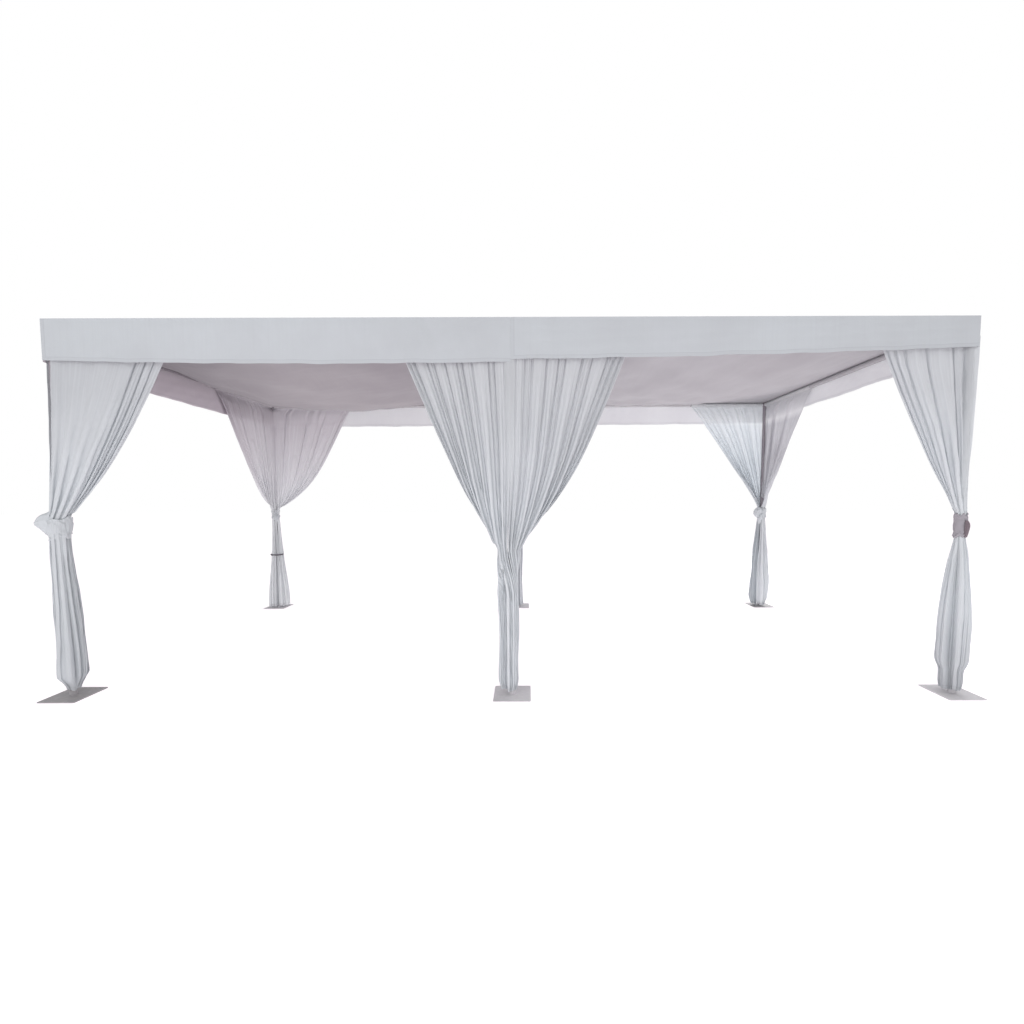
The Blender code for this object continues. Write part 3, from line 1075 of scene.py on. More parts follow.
    def _plan(self, row: Row) -> np.ndarray:
        """Lay the folds of one row along its middle line.

        Args:
            row: The row.

        Returns:
            Two columns: along the rail and outward.
        """
        panel, folds = self.panel, self.folds
        number = np.arange(len(folds.flat))
        flat_width = folds.flat * panel.flat_width
        change = row.height * self.CHANGE_RATE
        line = self.mean_line(np.linspace(0, 1, self.LINE_POINTS), row)
        length = float(np.linalg.norm(np.diff(line, axis=0), axis=1).sum())
        drifted = folds.uneven * (1 + self.DRIFT * self.sway(number * self.DRIFT_STEP, change))
        shares = folds.hung(length / panel.flat_width, drifted)
        share = folds.spread(shares)
        middle, pace, tangent = self._course(share, row)
        normal = np.stack([-tangent[:, 1], tangent[:, 0]], axis=-1)
        centre_pace = np.array([pace[folds.fold == k].mean() for k in number])
        swing = MEANDER.swing(centre_pace * shares / flat_width)
        swing = swing * (1 + self.DEEPENING * self.depth_change(number * self.DEPTH_STEP, change))
        swing = np.clip(swing, 0.0, Meander.WIDEST_SWING)
        drift, rise = (MEANDER.read(table, swing[folds.fold], folds.phase) * flat_width[folds.fold]
                       for table in (MEANDER.drift, MEANDER.rise))
        crest = MEANDER.read(MEANDER.rise, swing, np.full_like(swing, 0.5)) * flat_width
        offset = self._offset(row, share, rise, crest)
        outline = 1 + self.BULGE * row.bunched * self.round_change(share * 2.0, row.height * 1.4)
        plan = middle * outline[:, None] if row.bunched > 0.99 else middle
        opened = self.POCKET_DRIFT + (1 - self.POCKET_DRIFT) * row.settled
        plan = plan + tangent * drift[:, None] * opened + normal * offset[:, None]
        return self._keep_clear(plan, share, (UPRIGHT_RADIUS + CLEARANCE) * row.settled)

    def _course(self, share: np.ndarray, row: Row) -> tuple[np.ndarray, np.ndarray, np.ndarray]:
        """Follow the middle line of one row.

        Args:
            share: Hung share of each column.
            row: The row.

        Returns:
            Its places, how far it runs there for a share of 1, and its unit tangents.
        """
        right, left = np.clip(share + self.SLOPE_STEP, 0, 1), np.clip(share - self.SLOPE_STEP, 0, 1)
        slope = (self.mean_line(right, row) - self.mean_line(left, row)) / (right - left)[:, None]
        pace = np.linalg.norm(slope, axis=1)
        return self.mean_line(share, row), pace, slope / pace[:, None]

    def _depth(self, row: Row, crest: np.ndarray) -> np.ndarray:
        """Find how deep the folds stand.

        Args:
            row: The row.
            crest: How far each fold would stand out freely.

        Returns:
            For each fold the share of its crest that it takes.
        """
        leg, pleat = self.post.leg, self.folds.pleat
        relief = leg.relief + (1 - leg.relief) * pleat
        calm = 1 + (relief - 1) * smooth_step(self.post.waist_top - row.height, *self.CALMING)
        squeeze = np.minimum(1.0, row.room / np.maximum(crest, self.TINY))
        opened = self.POCKET_DEPTH + (1 - self.POCKET_DEPTH) * row.settled
        depth = opened * (1 + (squeeze * calm - 1) * row.bunched)
        allowed = self.LEAST_FOLD + self.panel.lift * max(0.0, RAIL_HEIGHT - row.height - self.HEADING)
        shallow = np.minimum(1.0, allowed / np.maximum(crest * depth, self.TINY))
        return depth * np.where(pleat > 0.5, 1.0, shallow)

    def _offset(self, row: Row, share: np.ndarray, rise: np.ndarray, crest: np.ndarray) -> np.ndarray:
        """Stand the cloth off its middle line: broad folds outward, pleats inward.

        Args:
            row: The row.
            share: Hung share of each column.
            rise: How far each column would stand out freely.
            crest: The same for the crest of each fold.

        Returns:
            Distance of each column from the middle line.
        """
        post, folds, bunched = self.post, self.folds, row.bunched
        depth = self._depth(row, crest)
        near = bump(share, 0.0, self.NEAR_FOLDS) * (1 - bunched)
        crests = (crest * depth)[folds.pleat < 0.5]
        level = (self.FAN_LEVEL * (1 - bunched) * crests.mean()
                 + self.BUNCH_LEVEL * bunched * crests.max())
        inward = 1 - 2 * folds.pleat
        offset = (inward[folds.fold] * rise * depth[folds.fold] - level) * (1 - self.FLATTENING * near)
        offset = np.maximum(offset, -row.room * bunched - (1 - bunched))
        half = (post.waist_top - post.waist_bottom) / 2
        beside = abs(row.height - post.waist_bottom - half)
        cap = self.WAIST_CAP + self.CAP_GROWTH * smooth_step(beside, half, half + self.CAP_HEIGHT)
        offset = np.where(offset > cap, cap + self.CAP_EXCESS * (offset - cap), offset)
        return -offset if post.hang is Hang.INSIDE else offset

    def _keep_clear(self, plan: np.ndarray, share: np.ndarray, clear: float) -> np.ndarray:
        """Push a row out of the upright.

        Args:
            plan: Two columns: along the rail and outward.
            share: Hung share of each column.
            clear: Least distance from the middle of the upright.

        Returns:
            The row, outside the upright.
        """
        if self.panel.near_edge < UPRIGHT_RADIUS:
            side = -1.0 if self.post.hang is Hang.INSIDE else 1.0
            covering = (share < self.NEAR_SHARE) & (np.abs(plan[:, 0]) < clear)
            front = np.sqrt(np.maximum(clear ** 2 - plan[:, 0] ** 2, 0))
            plan[:, 1] = np.where(covering, side * np.maximum(side * plan[:, 1], front), plan[:, 1])
        away = np.maximum(np.linalg.norm(plan, axis=1), self.SHORT)
        return plan * np.maximum(1.0, clear / away)[:, None]


@dataclass
class RoofCloth:
    """The slack cloth over one bay, which rests on the rails round it."""

    name: str
    side: int
    sag: float
    low_point: float
    cover: bpy.types.Material
    lining: bpy.types.Material
    columns: int = 96
    rows: int = 96
    corner_width: float = 0.9
    thickness: float = 0.0012

    # Metres: gaps at the middle and inside the valances, heights of the waves, creases and pulls
    MIDDLE_GAP = 0.00015
    EDGE_GAP = 0.0006
    REST_GAP = 0.001
    WAVE = 0.010
    CREASE = 0.0022
    PULL = 0.010
    PULLS_ROUND = 26

    def drop(self, x: np.ndarray, y: np.ndarray) -> np.ndarray:
        """How far the cloth hangs below its rest on the rails.

        Args:
            x: Places along the two bays.
            y: Places from the front to the back.

        Returns:
            The drop at each place.
        """
        half = DEPTH / 2 - ROOF_REST_WIDTH
        across = np.clip(1 - (y / half) ** 2, 0, 1)
        bay = BAY_WIDTH - 2 * ROOF_REST_WIDTH
        share = np.clip((BAY_WIDTH - ROOF_REST_WIDTH - np.abs(x)) / bay, 0, 1)
        power = math.log(0.5) / math.log(self.low_point)
        return self.sag * across * np.sin(math.pi * share ** power)

    def build(self) -> bpy.types.Object:
        """Make the cloth, with soft wrinkles that run in from its corners and edges.

        Returns:
            The cloth with its lining.
        """
        edge_x = BAY_WIDTH + VALANCE_OFFSET - self.EDGE_GAP
        edge_y = DEPTH / 2 + VALANCE_OFFSET - self.EDGE_GAP
        u = np.linspace(self.MIDDLE_GAP, edge_x, self.columns + 1) * self.side
        v = np.linspace(-edge_y, edge_y, self.rows + 1)
        x, y = np.meshgrid(u, v)
        drop = self.drop(x, y)
        calm = np.clip(drop / self.sag, 0, 1)
        wave = Ripple(41 + self.side, (0.9, 0.6, 0.43, 0.31), 2)
        fine = Ripple(57 + self.side, (0.23, 0.17, 0.12, 0.09), 2)
        free = smooth_step(drop, 0.0, 0.05)
        waves = self.WAVE * wave(x, y * 0.55) + self.CREASE * fine(x * 0.6, y)
        z = ROOF_UNDERSIDE + self.REST_GAP - drop + free * waves
        z = z + free * (1 - calm) * self._pulls(x, y)
        points = np.stack([x, y, z], axis=-1)
        cloth = np.stack([edge_x - np.abs(x), y + edge_y], axis=-1)
        piece = mesh_from_grid(self.name, points, cloth, self.cover)
        line_with(piece, self.lining, np.array([0.0, 0.0, -self.thickness]))
        place_piece(piece, "cover_cloth", "roof_cloth_left" if self.side < 0 else "roof_cloth_right")
        return piece

    def _pulls(self, x: np.ndarray, y: np.ndarray) -> np.ndarray:
        """Wrinkles that fan out of the four corners of the bay.

        Args:
            x: Places along the two bays.
            y: Places from the front to the back.

        Returns:
            Their height at each place.
        """
        total = 0.0
        for corner_x in (0.0, BAY_WIDTH * self.side):
            for corner_y in (-DEPTH / 2, DEPTH / 2):
                away = np.hypot(x - corner_x, y - corner_y)
                turn = np.arctan2(y - corner_y, x - corner_x)
                fade = np.exp(-((away / self.corner_width) ** 2)) * smooth_step(away, 0.05, 0.35)
                total = total + self.PULL * fade * np.sin(turn * self.PULLS_ROUND)
        return total


@dataclass(frozen=True)
class Span:
    """A straight run in plan, with the tent on its left."""

    start: tuple[float, float]
    end: tuple[float, float]

    @property
    def run(self) -> np.ndarray:
        """From the start to the end."""
        return np.array(self.end) - np.array(self.start)

    @property
    def length(self) -> float:
        """Length of the run."""
        return float(np.linalg.norm(self.run))

    @property
    def out(self) -> np.ndarray:
        """Unit vector away from the tent."""
        return np.array([self.run[1], -self.run[0]]) / self.length

    def points(self, share: np.ndarray, offset: np.ndarray, height: np.ndarray) -> np.ndarray:
        """Places beside the run.

        Args:
            share: Share of the run, from 0 to 1.
            offset: Distance outside it.
            height: Height of each place.

        Returns:
            Places in metres.
        """
        plan = np.array(self.start) + share[..., None] * self.run + self.out * offset[..., None]
        return np.concatenate([plan, height[..., None]], axis=-1)


@dataclass
class Valance:
    """A flat band of cloth round the top, with a doubled hem and a slightly slack lower edge."""

    node: str
    span: Span
    drops: tuple[float, float]
    belly: float
    cover: bpy.types.Material
    lining: bpy.types.Material
    seed: int
    columns: int = 130
    rows: int = 18
    thickness: float = 0.0010

    # Metres: gap outside the roof cloth, slack of the hem, its swell, and the heights of its waves
    GAP = 0.002
    SLACK = 0.006
    SWELL = 0.0035
    EDGE_WAVE = 0.0018
    WRINKLE = 0.0008

    def build(self) -> bpy.types.Object:
        """Make the valance.

        Returns:
            The valance with its lining.
        """
        length = self.span.length
        share, down = np.meshgrid(np.linspace(0, 1, self.columns + 1), np.linspace(0, 1, self.rows + 1))
        edge_wave = Ripple(self.seed, (0.9, 0.5, 0.3), 1)
        swell = Ripple(self.seed + 3, (1.3, 0.8, 0.45), 2)
        fine = Ripple(self.seed + 7, (0.16, 0.11, 0.08), 2)
        drop = self.drops[0] + (self.drops[1] - self.drops[0]) * share
        drop = drop + self.belly * 4 * share * (1 - share) + self.EDGE_WAVE * edge_wave(share * length)
        held = smooth_step(np.minimum(share, 1 - share), 0.0, 0.04)
        place = (share * length, down * 0.3)
        offset = self.GAP + down * held * (self.SLACK + self.SWELL * swell(*place))
        offset = offset + held * smooth_step(down, 0.02, 0.3) * self.WRINKLE * fine(*place)
        points = self.span.points(share, offset, HEIGHT - down * drop)
        cloth = np.stack([share * length, (1 - down) * drop], axis=-1)
        piece = mesh_from_grid("cover_" + self.node, points, cloth, self.cover)
        line_with(piece, self.lining, np.array([*(-self.span.out * self.thickness), 0.0]))
        place_piece(piece, "cover_cloth", self.node)
        rail = self.node.replace("valance", "rail")
        return piece


@dataclass
class Sleeve:
    """The hem of the lining, closed round a rail between two curtains."""

    name: str
    rail: str
    span: Span
    lining: bpy.types.Material
    seed: int
    radius: float = 0.0268
    pucker: float = 0.0007
    columns: int = 24
    rows: int = 70

    def build(self) -> bpy.types.Object:
        """Make the sleeve, slightly puckered along its seam.

        Returns:
            The sleeve.
        """
        length = self.span.length
        share, turn = np.meshgrid(np.linspace(0, 1, self.rows + 1), np.linspace(0, TURN, self.columns + 1),
                                  indexing="ij")
        pucker = Ripple(self.seed, (0.11, 0.07, 0.05), 1)
        radius = self.radius + self.pucker * (1 + np.cos(turn)) * (1 + pucker(share * length))
        points = self.span.points(share, radius * np.sin(turn), RAIL_HEIGHT + radius * np.cos(turn))
        cloth = np.stack([share * length, turn * self.radius], axis=-1) + UV_MARGIN
        piece = mesh_from_grid(self.name, points, cloth, self.lining)
        place_piece(piece, "cover_cloth")
        return piece


@dataclass
class Wrap:
    """A sash wound round a bunch: a flat band with slanting creases and rolled edges."""

    node: str
    post: Post
    height: float
    width: float
    radius: float
    material: bpy.types.Material
    parts: tuple[bpy.types.Object, ...] = ()
    slot: str = "curtain_cloth"
    thickness: float = 0.007
    crease: float = 0.0030
    slant: float = 0.0
    pinch: float = 0.12
    flare: float = 0.0
    columns: int = 88
    rows: int = 36

    # How flat the band's edges and faces are, how uneven it lies, and how much a slant tips it
    EDGE_POWER = 0.55
    FACE_POWER = 0.45
    UNEVEN = 0.0022
    UNEVEN_HEIGHT = 0.10
    TIP = 0.35

    def place(self, around: np.ndarray, section: np.ndarray) -> np.ndarray:
        """Places on the band.

        Args:
            around: Turn about the post.
            section: Turn about the band's own cross-section.

        Returns:
            Places in metres.
        """
        half = self.width / 2
        across = np.sign(np.sin(section)) * np.abs(np.sin(section)) ** self.EDGE_POWER
        face = np.sign(np.cos(section)) * np.abs(np.cos(section)) ** self.FACE_POWER
        uneven = Ripple(int(self.height * 1000), (1.3, 0.9, 0.6), 3)
        creases = Ripple(int(self.height * 1000) + 5, (0.62, 0.45, 0.33), 1)
        ring = (np.cos(around), np.sin(around))
        phase = across * 1.5 + self.slant * np.sin(around + 0.6)
        outer = np.clip(face, 0, 1)
        radial = self.radius * (1 + self.flare * across) * (1 - self.pinch * (1 - across ** 2))
        radial = radial + self.thickness * face + self.crease * outer * creases(phase)
        radial = radial + self.UNEVEN * uneven(ring[0], ring[1], across)
        lift = half * across * (1 + self.UNEVEN_HEIGHT * uneven(ring[0] * 0.8, ring[1] * 0.8, 0.3))
        centre = self.post.centre
        return np.stack([centre.x + self.post.leg.shift[0] + radial * ring[0], centre.y + radial * ring[1],
                         self.height + lift + self.TIP * self.radius * self.slant * ring[0] * 0.4], axis=-1)

    def build(self) -> bpy.types.Object:
        """Returns:
            The wrap.
        """
        turn = np.linspace(0, TURN, self.columns, endpoint=False)
        section = np.linspace(0, TURN, self.rows + 1)
        around, across = np.meshgrid(turn, section)
        points = self.place(around, across)
        cloth = np.stack([around * self.radius, across * self.width / 2], axis=-1) + UV_MARGIN
        piece = mesh_from_grid("sash_" + self.node, points, cloth, self.material, closed=True)
        weld(piece)
        place_piece(piece, self.slot, self.node)
        under = [f"drape_{panel.post}_{panel.side}" for panel in PANELS if panel.post == self.post.name]
        return piece


@dataclass
class Lobe:
    """A puff or tail of cloth pulled out of a tie: a soft flat pouch along a line beside its post."""

    name: str
    post: Post
    path: tuple[tuple[float, float, float], ...]
    widths: tuple[float, ...]
    thickness: float
    material: bpy.types.Material
    seed: int
    slot: str = "curtain_cloth"
    columns: int = 36
    rows: int = 40

    # How much the creases change the width, and metres of cloth for one step of the grid
    RIDGE = 0.10
    CLOTH_STEP = 0.05

    def build(self) -> bpy.types.Object:
        """Make the pouch, with creases that run along it.

        Returns:
            The pouch.
        """
        foot = (self.post.column * BAY_WIDTH, self.post.row * DEPTH / 2, 0.0)
        knots = np.array(self.path) + foot
        t = np.linspace(0, len(knots) - 1, self.rows)
        line = np.stack([smooth_line(t, knots[:, axis]) for axis in range(3)], axis=-1)
        width = smooth_line(t, np.array(self.widths))
        run = np.gradient(line, axis=0)
        run /= np.linalg.norm(run, axis=1, keepdims=True)
        flat = np.cross(run, (0.0, 1.0, 0.0))
        flat /= np.linalg.norm(flat, axis=1, keepdims=True)
        thin = np.cross(run, flat)
        around = np.linspace(0, TURN, self.columns, endpoint=False)
        crease = Ripple(self.seed, (1.9, 1.3, 0.9), 2)
        turn, step = np.meshgrid(around, t)
        ridge = 1 + self.RIDGE * crease(turn * 1.6, step * 0.35)
        across = (np.cos(turn) * width[:, None] * ridge)[..., None]
        depth = (np.sin(turn) * np.minimum(width[:, None], self.thickness) * ridge)[..., None]
        points = line[:, None, :] + flat[:, None, :] * across + thin[:, None, :] * depth
        cloth = np.stack([turn, step], axis=-1) * self.CLOTH_STEP + UV_MARGIN
        piece = mesh_from_grid(self.name, points, cloth, self.material, closed=True)
        weld(piece, caps=True)
        return place_piece(piece, self.slot)


@dataclass(frozen=True)
class Lamp:
    """A square soft light: where it stands, where it points, its width and its power in watts."""

    name: str
    place: tuple[float, float, float]
    aim: tuple[float, float, float]
    size: float
    power: float

    def build(self) -> None:
        """Put the light in the scene.

        It is turned so that it shines from its place towards its aim.
        """
        light = bpy.data.lights.new(self.name, "AREA")
        light.size = self.size
        light.energy = self.power
        holder = bpy.data.objects.new(self.name, light)
        holder.location = self.place
        holder.rotation_euler = (Vector(self.place) - Vector(self.aim)).to_track_quat("Z", "Y").to_euler()
        bpy.context.scene.collection.objects.link(holder)


class Studio:
    """Pale floor, plain soft light and the camera at the photograph's viewing angle."""

    IMAGE = 1024
    SENSOR = 36.0
    FOCAL_PIXELS = 528.8
    CENTRE_PIXELS = (527.1, 536.1)
    PLACE = (0.127, -6.140, 1.616)
    YAW = math.radians(0.01)
    PITCH = math.radians(3.95)
    ROLL = math.radians(-0.18)
    FLOOR_REACH = 60.0
    WORLD_LIGHT = 0.66
    LAMPS = (
        Lamp("soft_front", (-2.0, -9.0, 3.6), (0, 0, 1.4), 7.0, 205.0),
        Lamp("soft_side", (9.0, -3.0, 5.0), (0, 0, 1.6), 5.0, 90.0),
        Lamp("soft_back", (6.5, 9.0, 4.0), (2.0, 0, 1.8), 5.0, 420.0),
    )

    def build(self) -> None:
        """Set the stage: floor, surroundings, lamps and camera.

        Only the floor is a mesh.
        """
        self._floor()
        self._world()
        for lamp in self.LAMPS:
            lamp.build()
        self._camera()

    def _floor(self) -> None:
        """Lay a wide pale floor under the plates.

        It lies at height 0, where the plates rest, and reaches past the edges of the picture.
        """
        mesh = bpy.data.meshes.new("studio_floor")
        shape = bmesh.new()
        bmesh.ops.create_grid(shape, x_segments=8, y_segments=8, size=self.FLOOR_REACH)
        shape.to_mesh(mesh)
        shape.free()
        mesh.materials.append(FloorFinish().build())
        floor = bpy.data.objects.new("studio_floor", mesh)
        bpy.context.scene.collection.objects.link(floor)

    def _world(self) -> None:
        """Put white all round.

        The camera sees pure white, and a little less of it falls on the tent as light.
        """
        world = bpy.data.worlds.new("studio_world")
        bpy.context.scene.world = world
        world.use_nodes = True
        nodes, links = world.node_tree.nodes, world.node_tree.links
        nodes.clear()
        output = nodes.new("ShaderNodeOutputWorld")
        path = nodes.new("ShaderNodeLightPath")
        both = nodes.new("ShaderNodeMixShader")
        links.new(path.outputs["Is Camera Ray"], both.inputs[0])
        for socket, strength in ((both.inputs[1], self.WORLD_LIGHT), (both.inputs[2], 1.0)):
            white = nodes.new("ShaderNodeBackground")
            white.inputs["Color"].default_value = (1.0, 1.0, 1.0, 1.0)
            white.inputs["Strength"].default_value = strength
            links.new(white.outputs[0], socket)
        links.new(both.outputs[0], output.inputs["Surface"])

    def _camera(self) -> None:
        """Put the camera at the place and angles fitted to the photograph.

        The lens is shifted a little, so that its middle falls where the photograph's does.
        """
        forward = Vector((-math.sin(self.YAW) * math.cos(self.PITCH),
                          math.cos(self.YAW) * math.cos(self.PITCH), -math.sin(self.PITCH)))
        level = Vector((math.cos(self.YAW), math.sin(self.YAW), 0.0))
        upward = level.cross(forward)
        right = level * math.cos(self.ROLL) + upward * math.sin(self.ROLL)
        up = upward * math.cos(self.ROLL) - level * math.sin(self.ROLL)
        lens = bpy.data.cameras.new("camera")
        lens.sensor_width = self.SENSOR
        lens.lens = self.FOCAL_PIXELS / self.IMAGE * self.SENSOR
        lens.shift_x = 0.5 - self.CENTRE_PIXELS[0] / self.IMAGE
        lens.shift_y = self.CENTRE_PIXELS[1] / self.IMAGE - 0.5
        lens.dof.use_dof = False
        camera = bpy.data.objects.new("camera", lens)
        turn = Matrix((right, up, -forward)).transposed()
        camera.matrix_world = Matrix.Translation(self.PLACE) @ turn.to_4x4()
        bpy.context.scene.collection.objects.link(camera)
        bpy.context.scene.camera = camera
        bpy.context.scene.view_settings.view_transform = "Standard"


COVER = ClothFinish("cover_cloth", (0.60, 0.635, 0.665), (0.56, 0.585, 0.615), 0.20, 0.5)
# Paler, more see-through copy of the cover cloth for the right and back valances: painted light from behind
LIT_COVER = ClothFinish("cover_cloth_lit", (0.84, 0.86, 0.88), (0.79, 0.81, 0.83), 0.55, 0.5)
# Underside of the roof: the cloth's colour darkened as painted shade, more in the left bay and most towards
# its far left end
CEILING_LEFT = ClothFinish("ceiling_lining_left", (0.370, 0.345, 0.365), (0.325, 0.30, 0.325), 0.12, 0.5,
                           (Fade("X", -2.2, -3.6, (0.185, 0.165, 0.185)),))
CEILING_RIGHT = ClothFinish("ceiling_lining_right", (0.455, 0.445, 0.47), (0.41, 0.395, 0.42), 0.12, 0.5)
# Inner faces of the valances, copies of one lining cloth: darker in front and on the left as painted shade,
# paler on the right and at the back as painted light coming through
LEFT_LINING = ClothFinish("lining_left", (0.63, 0.575, 0.62), (0.59, 0.53, 0.58), 0.15, 0.5)
RIGHT_LINING = ClothFinish("lining_right", (0.86, 0.855, 0.87), (0.82, 0.81, 0.83), 0.45, 0.5)
BACK_LINING = ClothFinish("lining_back", (0.92, 0.915, 0.925), (0.88, 0.87, 0.89), 0.52, 0.5)
# Curtain cloth, lit and shaded copies of one voile, paler on the front right. Each darkens towards its top
# as painted shade under the valance; the middle legs lighten as painted light, and the corner legs darken
# near the floor as painted shade
LEFT_VOILE = ClothFinish("curtain_cloth_left", (0.725, 0.76, 0.79), (0.685, 0.715, 0.745), 0.24, 0.5,
                         (Fade("Z", 1.62, 2.5, (0.530, 0.552, 0.577)),
                          Fade("Z", 1.0, 0.3, (0.665, 0.695, 0.725))))
VOILE = ClothFinish("curtain_cloth", (0.72, 0.752, 0.783), (0.68, 0.71, 0.74), 0.24, 0.5,
                    (Fade("Z", 1.3, 2.6, (0.55, 0.567, 0.590)), Fade("Z", 1.25, 0.95, (0.79, 0.822, 0.853))))
RIGHT_VOILE = ClothFinish("curtain_cloth_right", (0.808, 0.846, 0.876), (0.768, 0.80, 0.83), 0.24, 0.5,
                          (Fade("Z", 1.45, 2.5, (0.57, 0.592, 0.617)),
                           Fade("Z", 0.70, 0.12, (0.635, 0.66, 0.69))))
# Back corner curtains seen from inside: pale copies of the voile, painted light coming through, darkened
# from the middle up as painted shade, with a band of painted light just under the valance; the back left
# side panel also darkens towards its front end as painted shade
INNER_VOILE = ClothFinish("curtain_cloth_inner", (0.90, 0.92, 0.94), (0.86, 0.88, 0.90), 0.30, 0.4,
                          (Fade("Z", 1.3, 2.65, (0.64, 0.61, 0.65)),
                           Fade("Z", 2.68, 2.78, (0.80, 0.765, 0.80))))
INNER_SIDE_VOILE = ClothFinish("curtain_cloth_inner_side", (0.90, 0.92, 0.94), (0.86, 0.88, 0.90), 0.30, 0.4,
                               (Fade("Z", 1.3, 2.65, (0.66, 0.63, 0.67)),
                                Fade("Z", 2.68, 2.78, (0.76, 0.72, 0.76)),
                                Fade("Y", 1.45, 0.55, (0.50, 0.455, 0.50))))
SHADED_VOILE = ClothFinish("curtain_cloth_shaded", (0.90, 0.93, 0.95), (0.86, 0.88, 0.91), 0.36, 0.5,
                           (Fade("Z", 1.35, 2.2, (0.535, 0.533, 0.565)),
                            Fade("Z", 2.68, 2.76, (0.75, 0.75, 0.77))))
# Back right back panel: pale copy of the voile, painted light from behind, brightest just under the valance
# and lighter again between about 1.3 and 2.1 m
BACKLIT_VOILE = ClothFinish("curtain_cloth_backlit", (0.74, 0.78, 0.81), (0.70, 0.74, 0.77), 0.44, 0.5,
                    (Fade("Z", 2.70, 2.78, (0.94, 0.97, 0.98)), Fade("Z", 2.1, 1.6, (0.84, 0.875, 0.90)),
                     Fade("Z", 1.5, 1.3, (0.74, 0.78, 0.81))))
BAND = ClothFinish("tie_cloth", (0.405, 0.385, 0.42), (0.335, 0.315, 0.35), 0.10, 0.9)
# Knot of the front right sash: the band's cloth, darkened as painted shade
DARK_BAND = ClothFinish("tie_cloth_dark", (0.20, 0.16, 0.18), (0.15, 0.12, 0.14), 0.0, 0.9)
CORD = ClothFinish("cord_cloth", (0.12, 0.11, 0.13), (0.09, 0.08, 0.10), 0.0, 0.9)
STEEL = MetalFinish("plate_paint", (0.66, 0.64, 0.67), (0.72, 0.71, 0.72), 0.60, 0.05, 0.25)
# Darker copy of the plate paint for two plates, with more dust: its darker colour is painted shade
DUSTY_SHADED_STEEL = MetalFinish("plate_paint_dust_and_shade", (0.36, 0.345, 0.36), (0.46, 0.45, 0.46), 0.60, 0.10, 0.35)
# Frame tubes painted dark mauve grey, as the aluminium looks in the shade between the curtains: painted
# shade
TUBE = MetalFinish("frame_tube", (0.30, 0.275, 0.305), (0.37, 0.345, 0.37), 0.48, 0.30, 0.2)
SHADED_PLATES = ("base_plate_front_left", "base_plate_back_right")

POSTS = (
    Post("front_left", -1, -1, 1.477, 1.283, 0.067,
         Leg((0.80, 0.30, 0.16, 0.09, 0.05), (0.084, 0.115, 0.115, 0.058, 0.045), relief=0.22,
             shift=(-0.026, 0.014), slits=(Slit(-37, 9, 0.75), Slit(-10, 9, 0.9)))),
    Post("front_middle", 0, -1, 1.207, 1.133, 0.099,
         Leg((0.90, 0.50, 0.10, 0.04), (0.086, 0.091, 0.088, 0.064), 0.9, relief=0.55,
             shift=(-0.030, -0.028), slits=(Slit(-144, 6, 1.0), Slit(-119, 5, 1.0)))),
    Post("front_right", 1, -1, 1.492, 1.293, 0.038,
         Leg((1.10, 0.90, 0.70, 0.50, 0.275, 0.235, 0.20, 0.08, 0.035),
             (0.078, 0.101, 0.116, 0.124, 0.130, 0.116, 0.096, 0.090, 0.078),
             relief=0.35, shift=(0.0, -0.010), slits=(Slit(-150, 9, 0.9), Slit(-130, 7, 0.7)))),
    Post("back_left", -1, 1, 1.477, 1.343, 0.050,
         Leg((0.80, 0.40, 0.02), (0.090, 0.114, 0.134), relief=0.5, shift=(0.0, 0.018),
             slits=(Slit(-84, 12, 1.0),)), Hang.INSIDE),
    Post("back_middle", 0, 1, 1.207, 1.133, 0.060,
         Leg((0.80, 0.40, 0.02), (0.066, 0.072, 0.090), shift=(-0.010, -0.028))),
    Post("back_right", 1, 1, 1.477, 1.323, 0.052,
         Leg((0.80, 0.35, 0.12, 0.02), (0.104, 0.138, 0.138, 0.104), relief=0.4, shift=(0.0, -0.022),
             slits=(Slit(-132, 5.5, 1.0),))),
)

PANELS = (
    Panel("front_left", "front", 0.98, 1.12, 1.01, (0.70, 0.81, 0.90), 0.16, 101, 0.018, 0.050, 0.10,
          rows=160, lift=0.024),
    Panel("front_left", "side", 0.86, 1.2, 1.00, (0.1, 0.25, 0.4, 0.55, 0.7, 0.85), 0.3, 102, -0.015, 0.06),
    Panel("front_middle", "left", 0.93, 1.00, 1.36,
          (0.06, 0.15, 0.21, 0.34, 0.43, 0.49, 0.61, 0.71, 0.78, 0.90, 0.96), 0.3, 103, pleat_width=0.052,
          belly=0.22, rows=130),
    Panel("front_middle", "right", 0.97, 1.08, 1.42,
          (0.05, 0.13, 0.19, 0.30, 0.41, 0.47, 0.60, 0.70, 0.83, 0.89, 0.96), 0.3, 104, pleat_width=0.054,
          belly=0.26, rows=130),
    Panel("front_right", "front", 0.73, 1.15, 0.90, (0.12, 0.24, 0.50, 0.76, 0.86, 0.95), 0.2, 105,
          -0.060, 0.060, rows=120),
    Panel("front_right", "side", 0.86, 1.2, 1.00, (0.1, 0.25, 0.4, 0.55, 0.7, 0.85), 0.3, 106, -0.015, 0.06),
    Panel("back_left", "back", 1.15, 0.98, 1.20, (0.20, 0.45, 0.70, 0.94), 0.13, 107, -0.030, 0.070, 0.36,
          lift=0.022),
    Panel("back_left", "side", 1.36, 1.05, 1.42, (0.20, 0.45, 0.70, 0.94), 0.14, 108, -0.030, 0.075, 0.12,
          lift=0.022),
    Panel("back_middle", "left", 0.93, 1.2, 1.36, (0.1, 0.22, 0.35, 0.5, 0.6, 0.76, 0.9), 0.3, 109,
          pleat_width=0.08),
    Panel("back_middle", "right", 0.97, 1.2, 1.40, (0.1, 0.24, 0.36, 0.48, 0.63, 0.75, 0.9), 0.3, 110,
          pleat_width=0.08),
    Panel("back_right", "back", 1.06, 0.98, 1.50,
          (0.06, 0.13, 0.24, 0.30, 0.38, 0.50, 0.57, 0.66, 0.78, 0.85, 0.95), 0.3, 111, 0.030, 0.055),
    Panel("back_right", "side", 1.25, 1.1, 1.34, (0.10, 0.34, 0.70), 0.14, 112, 0.030, 0.110),
)


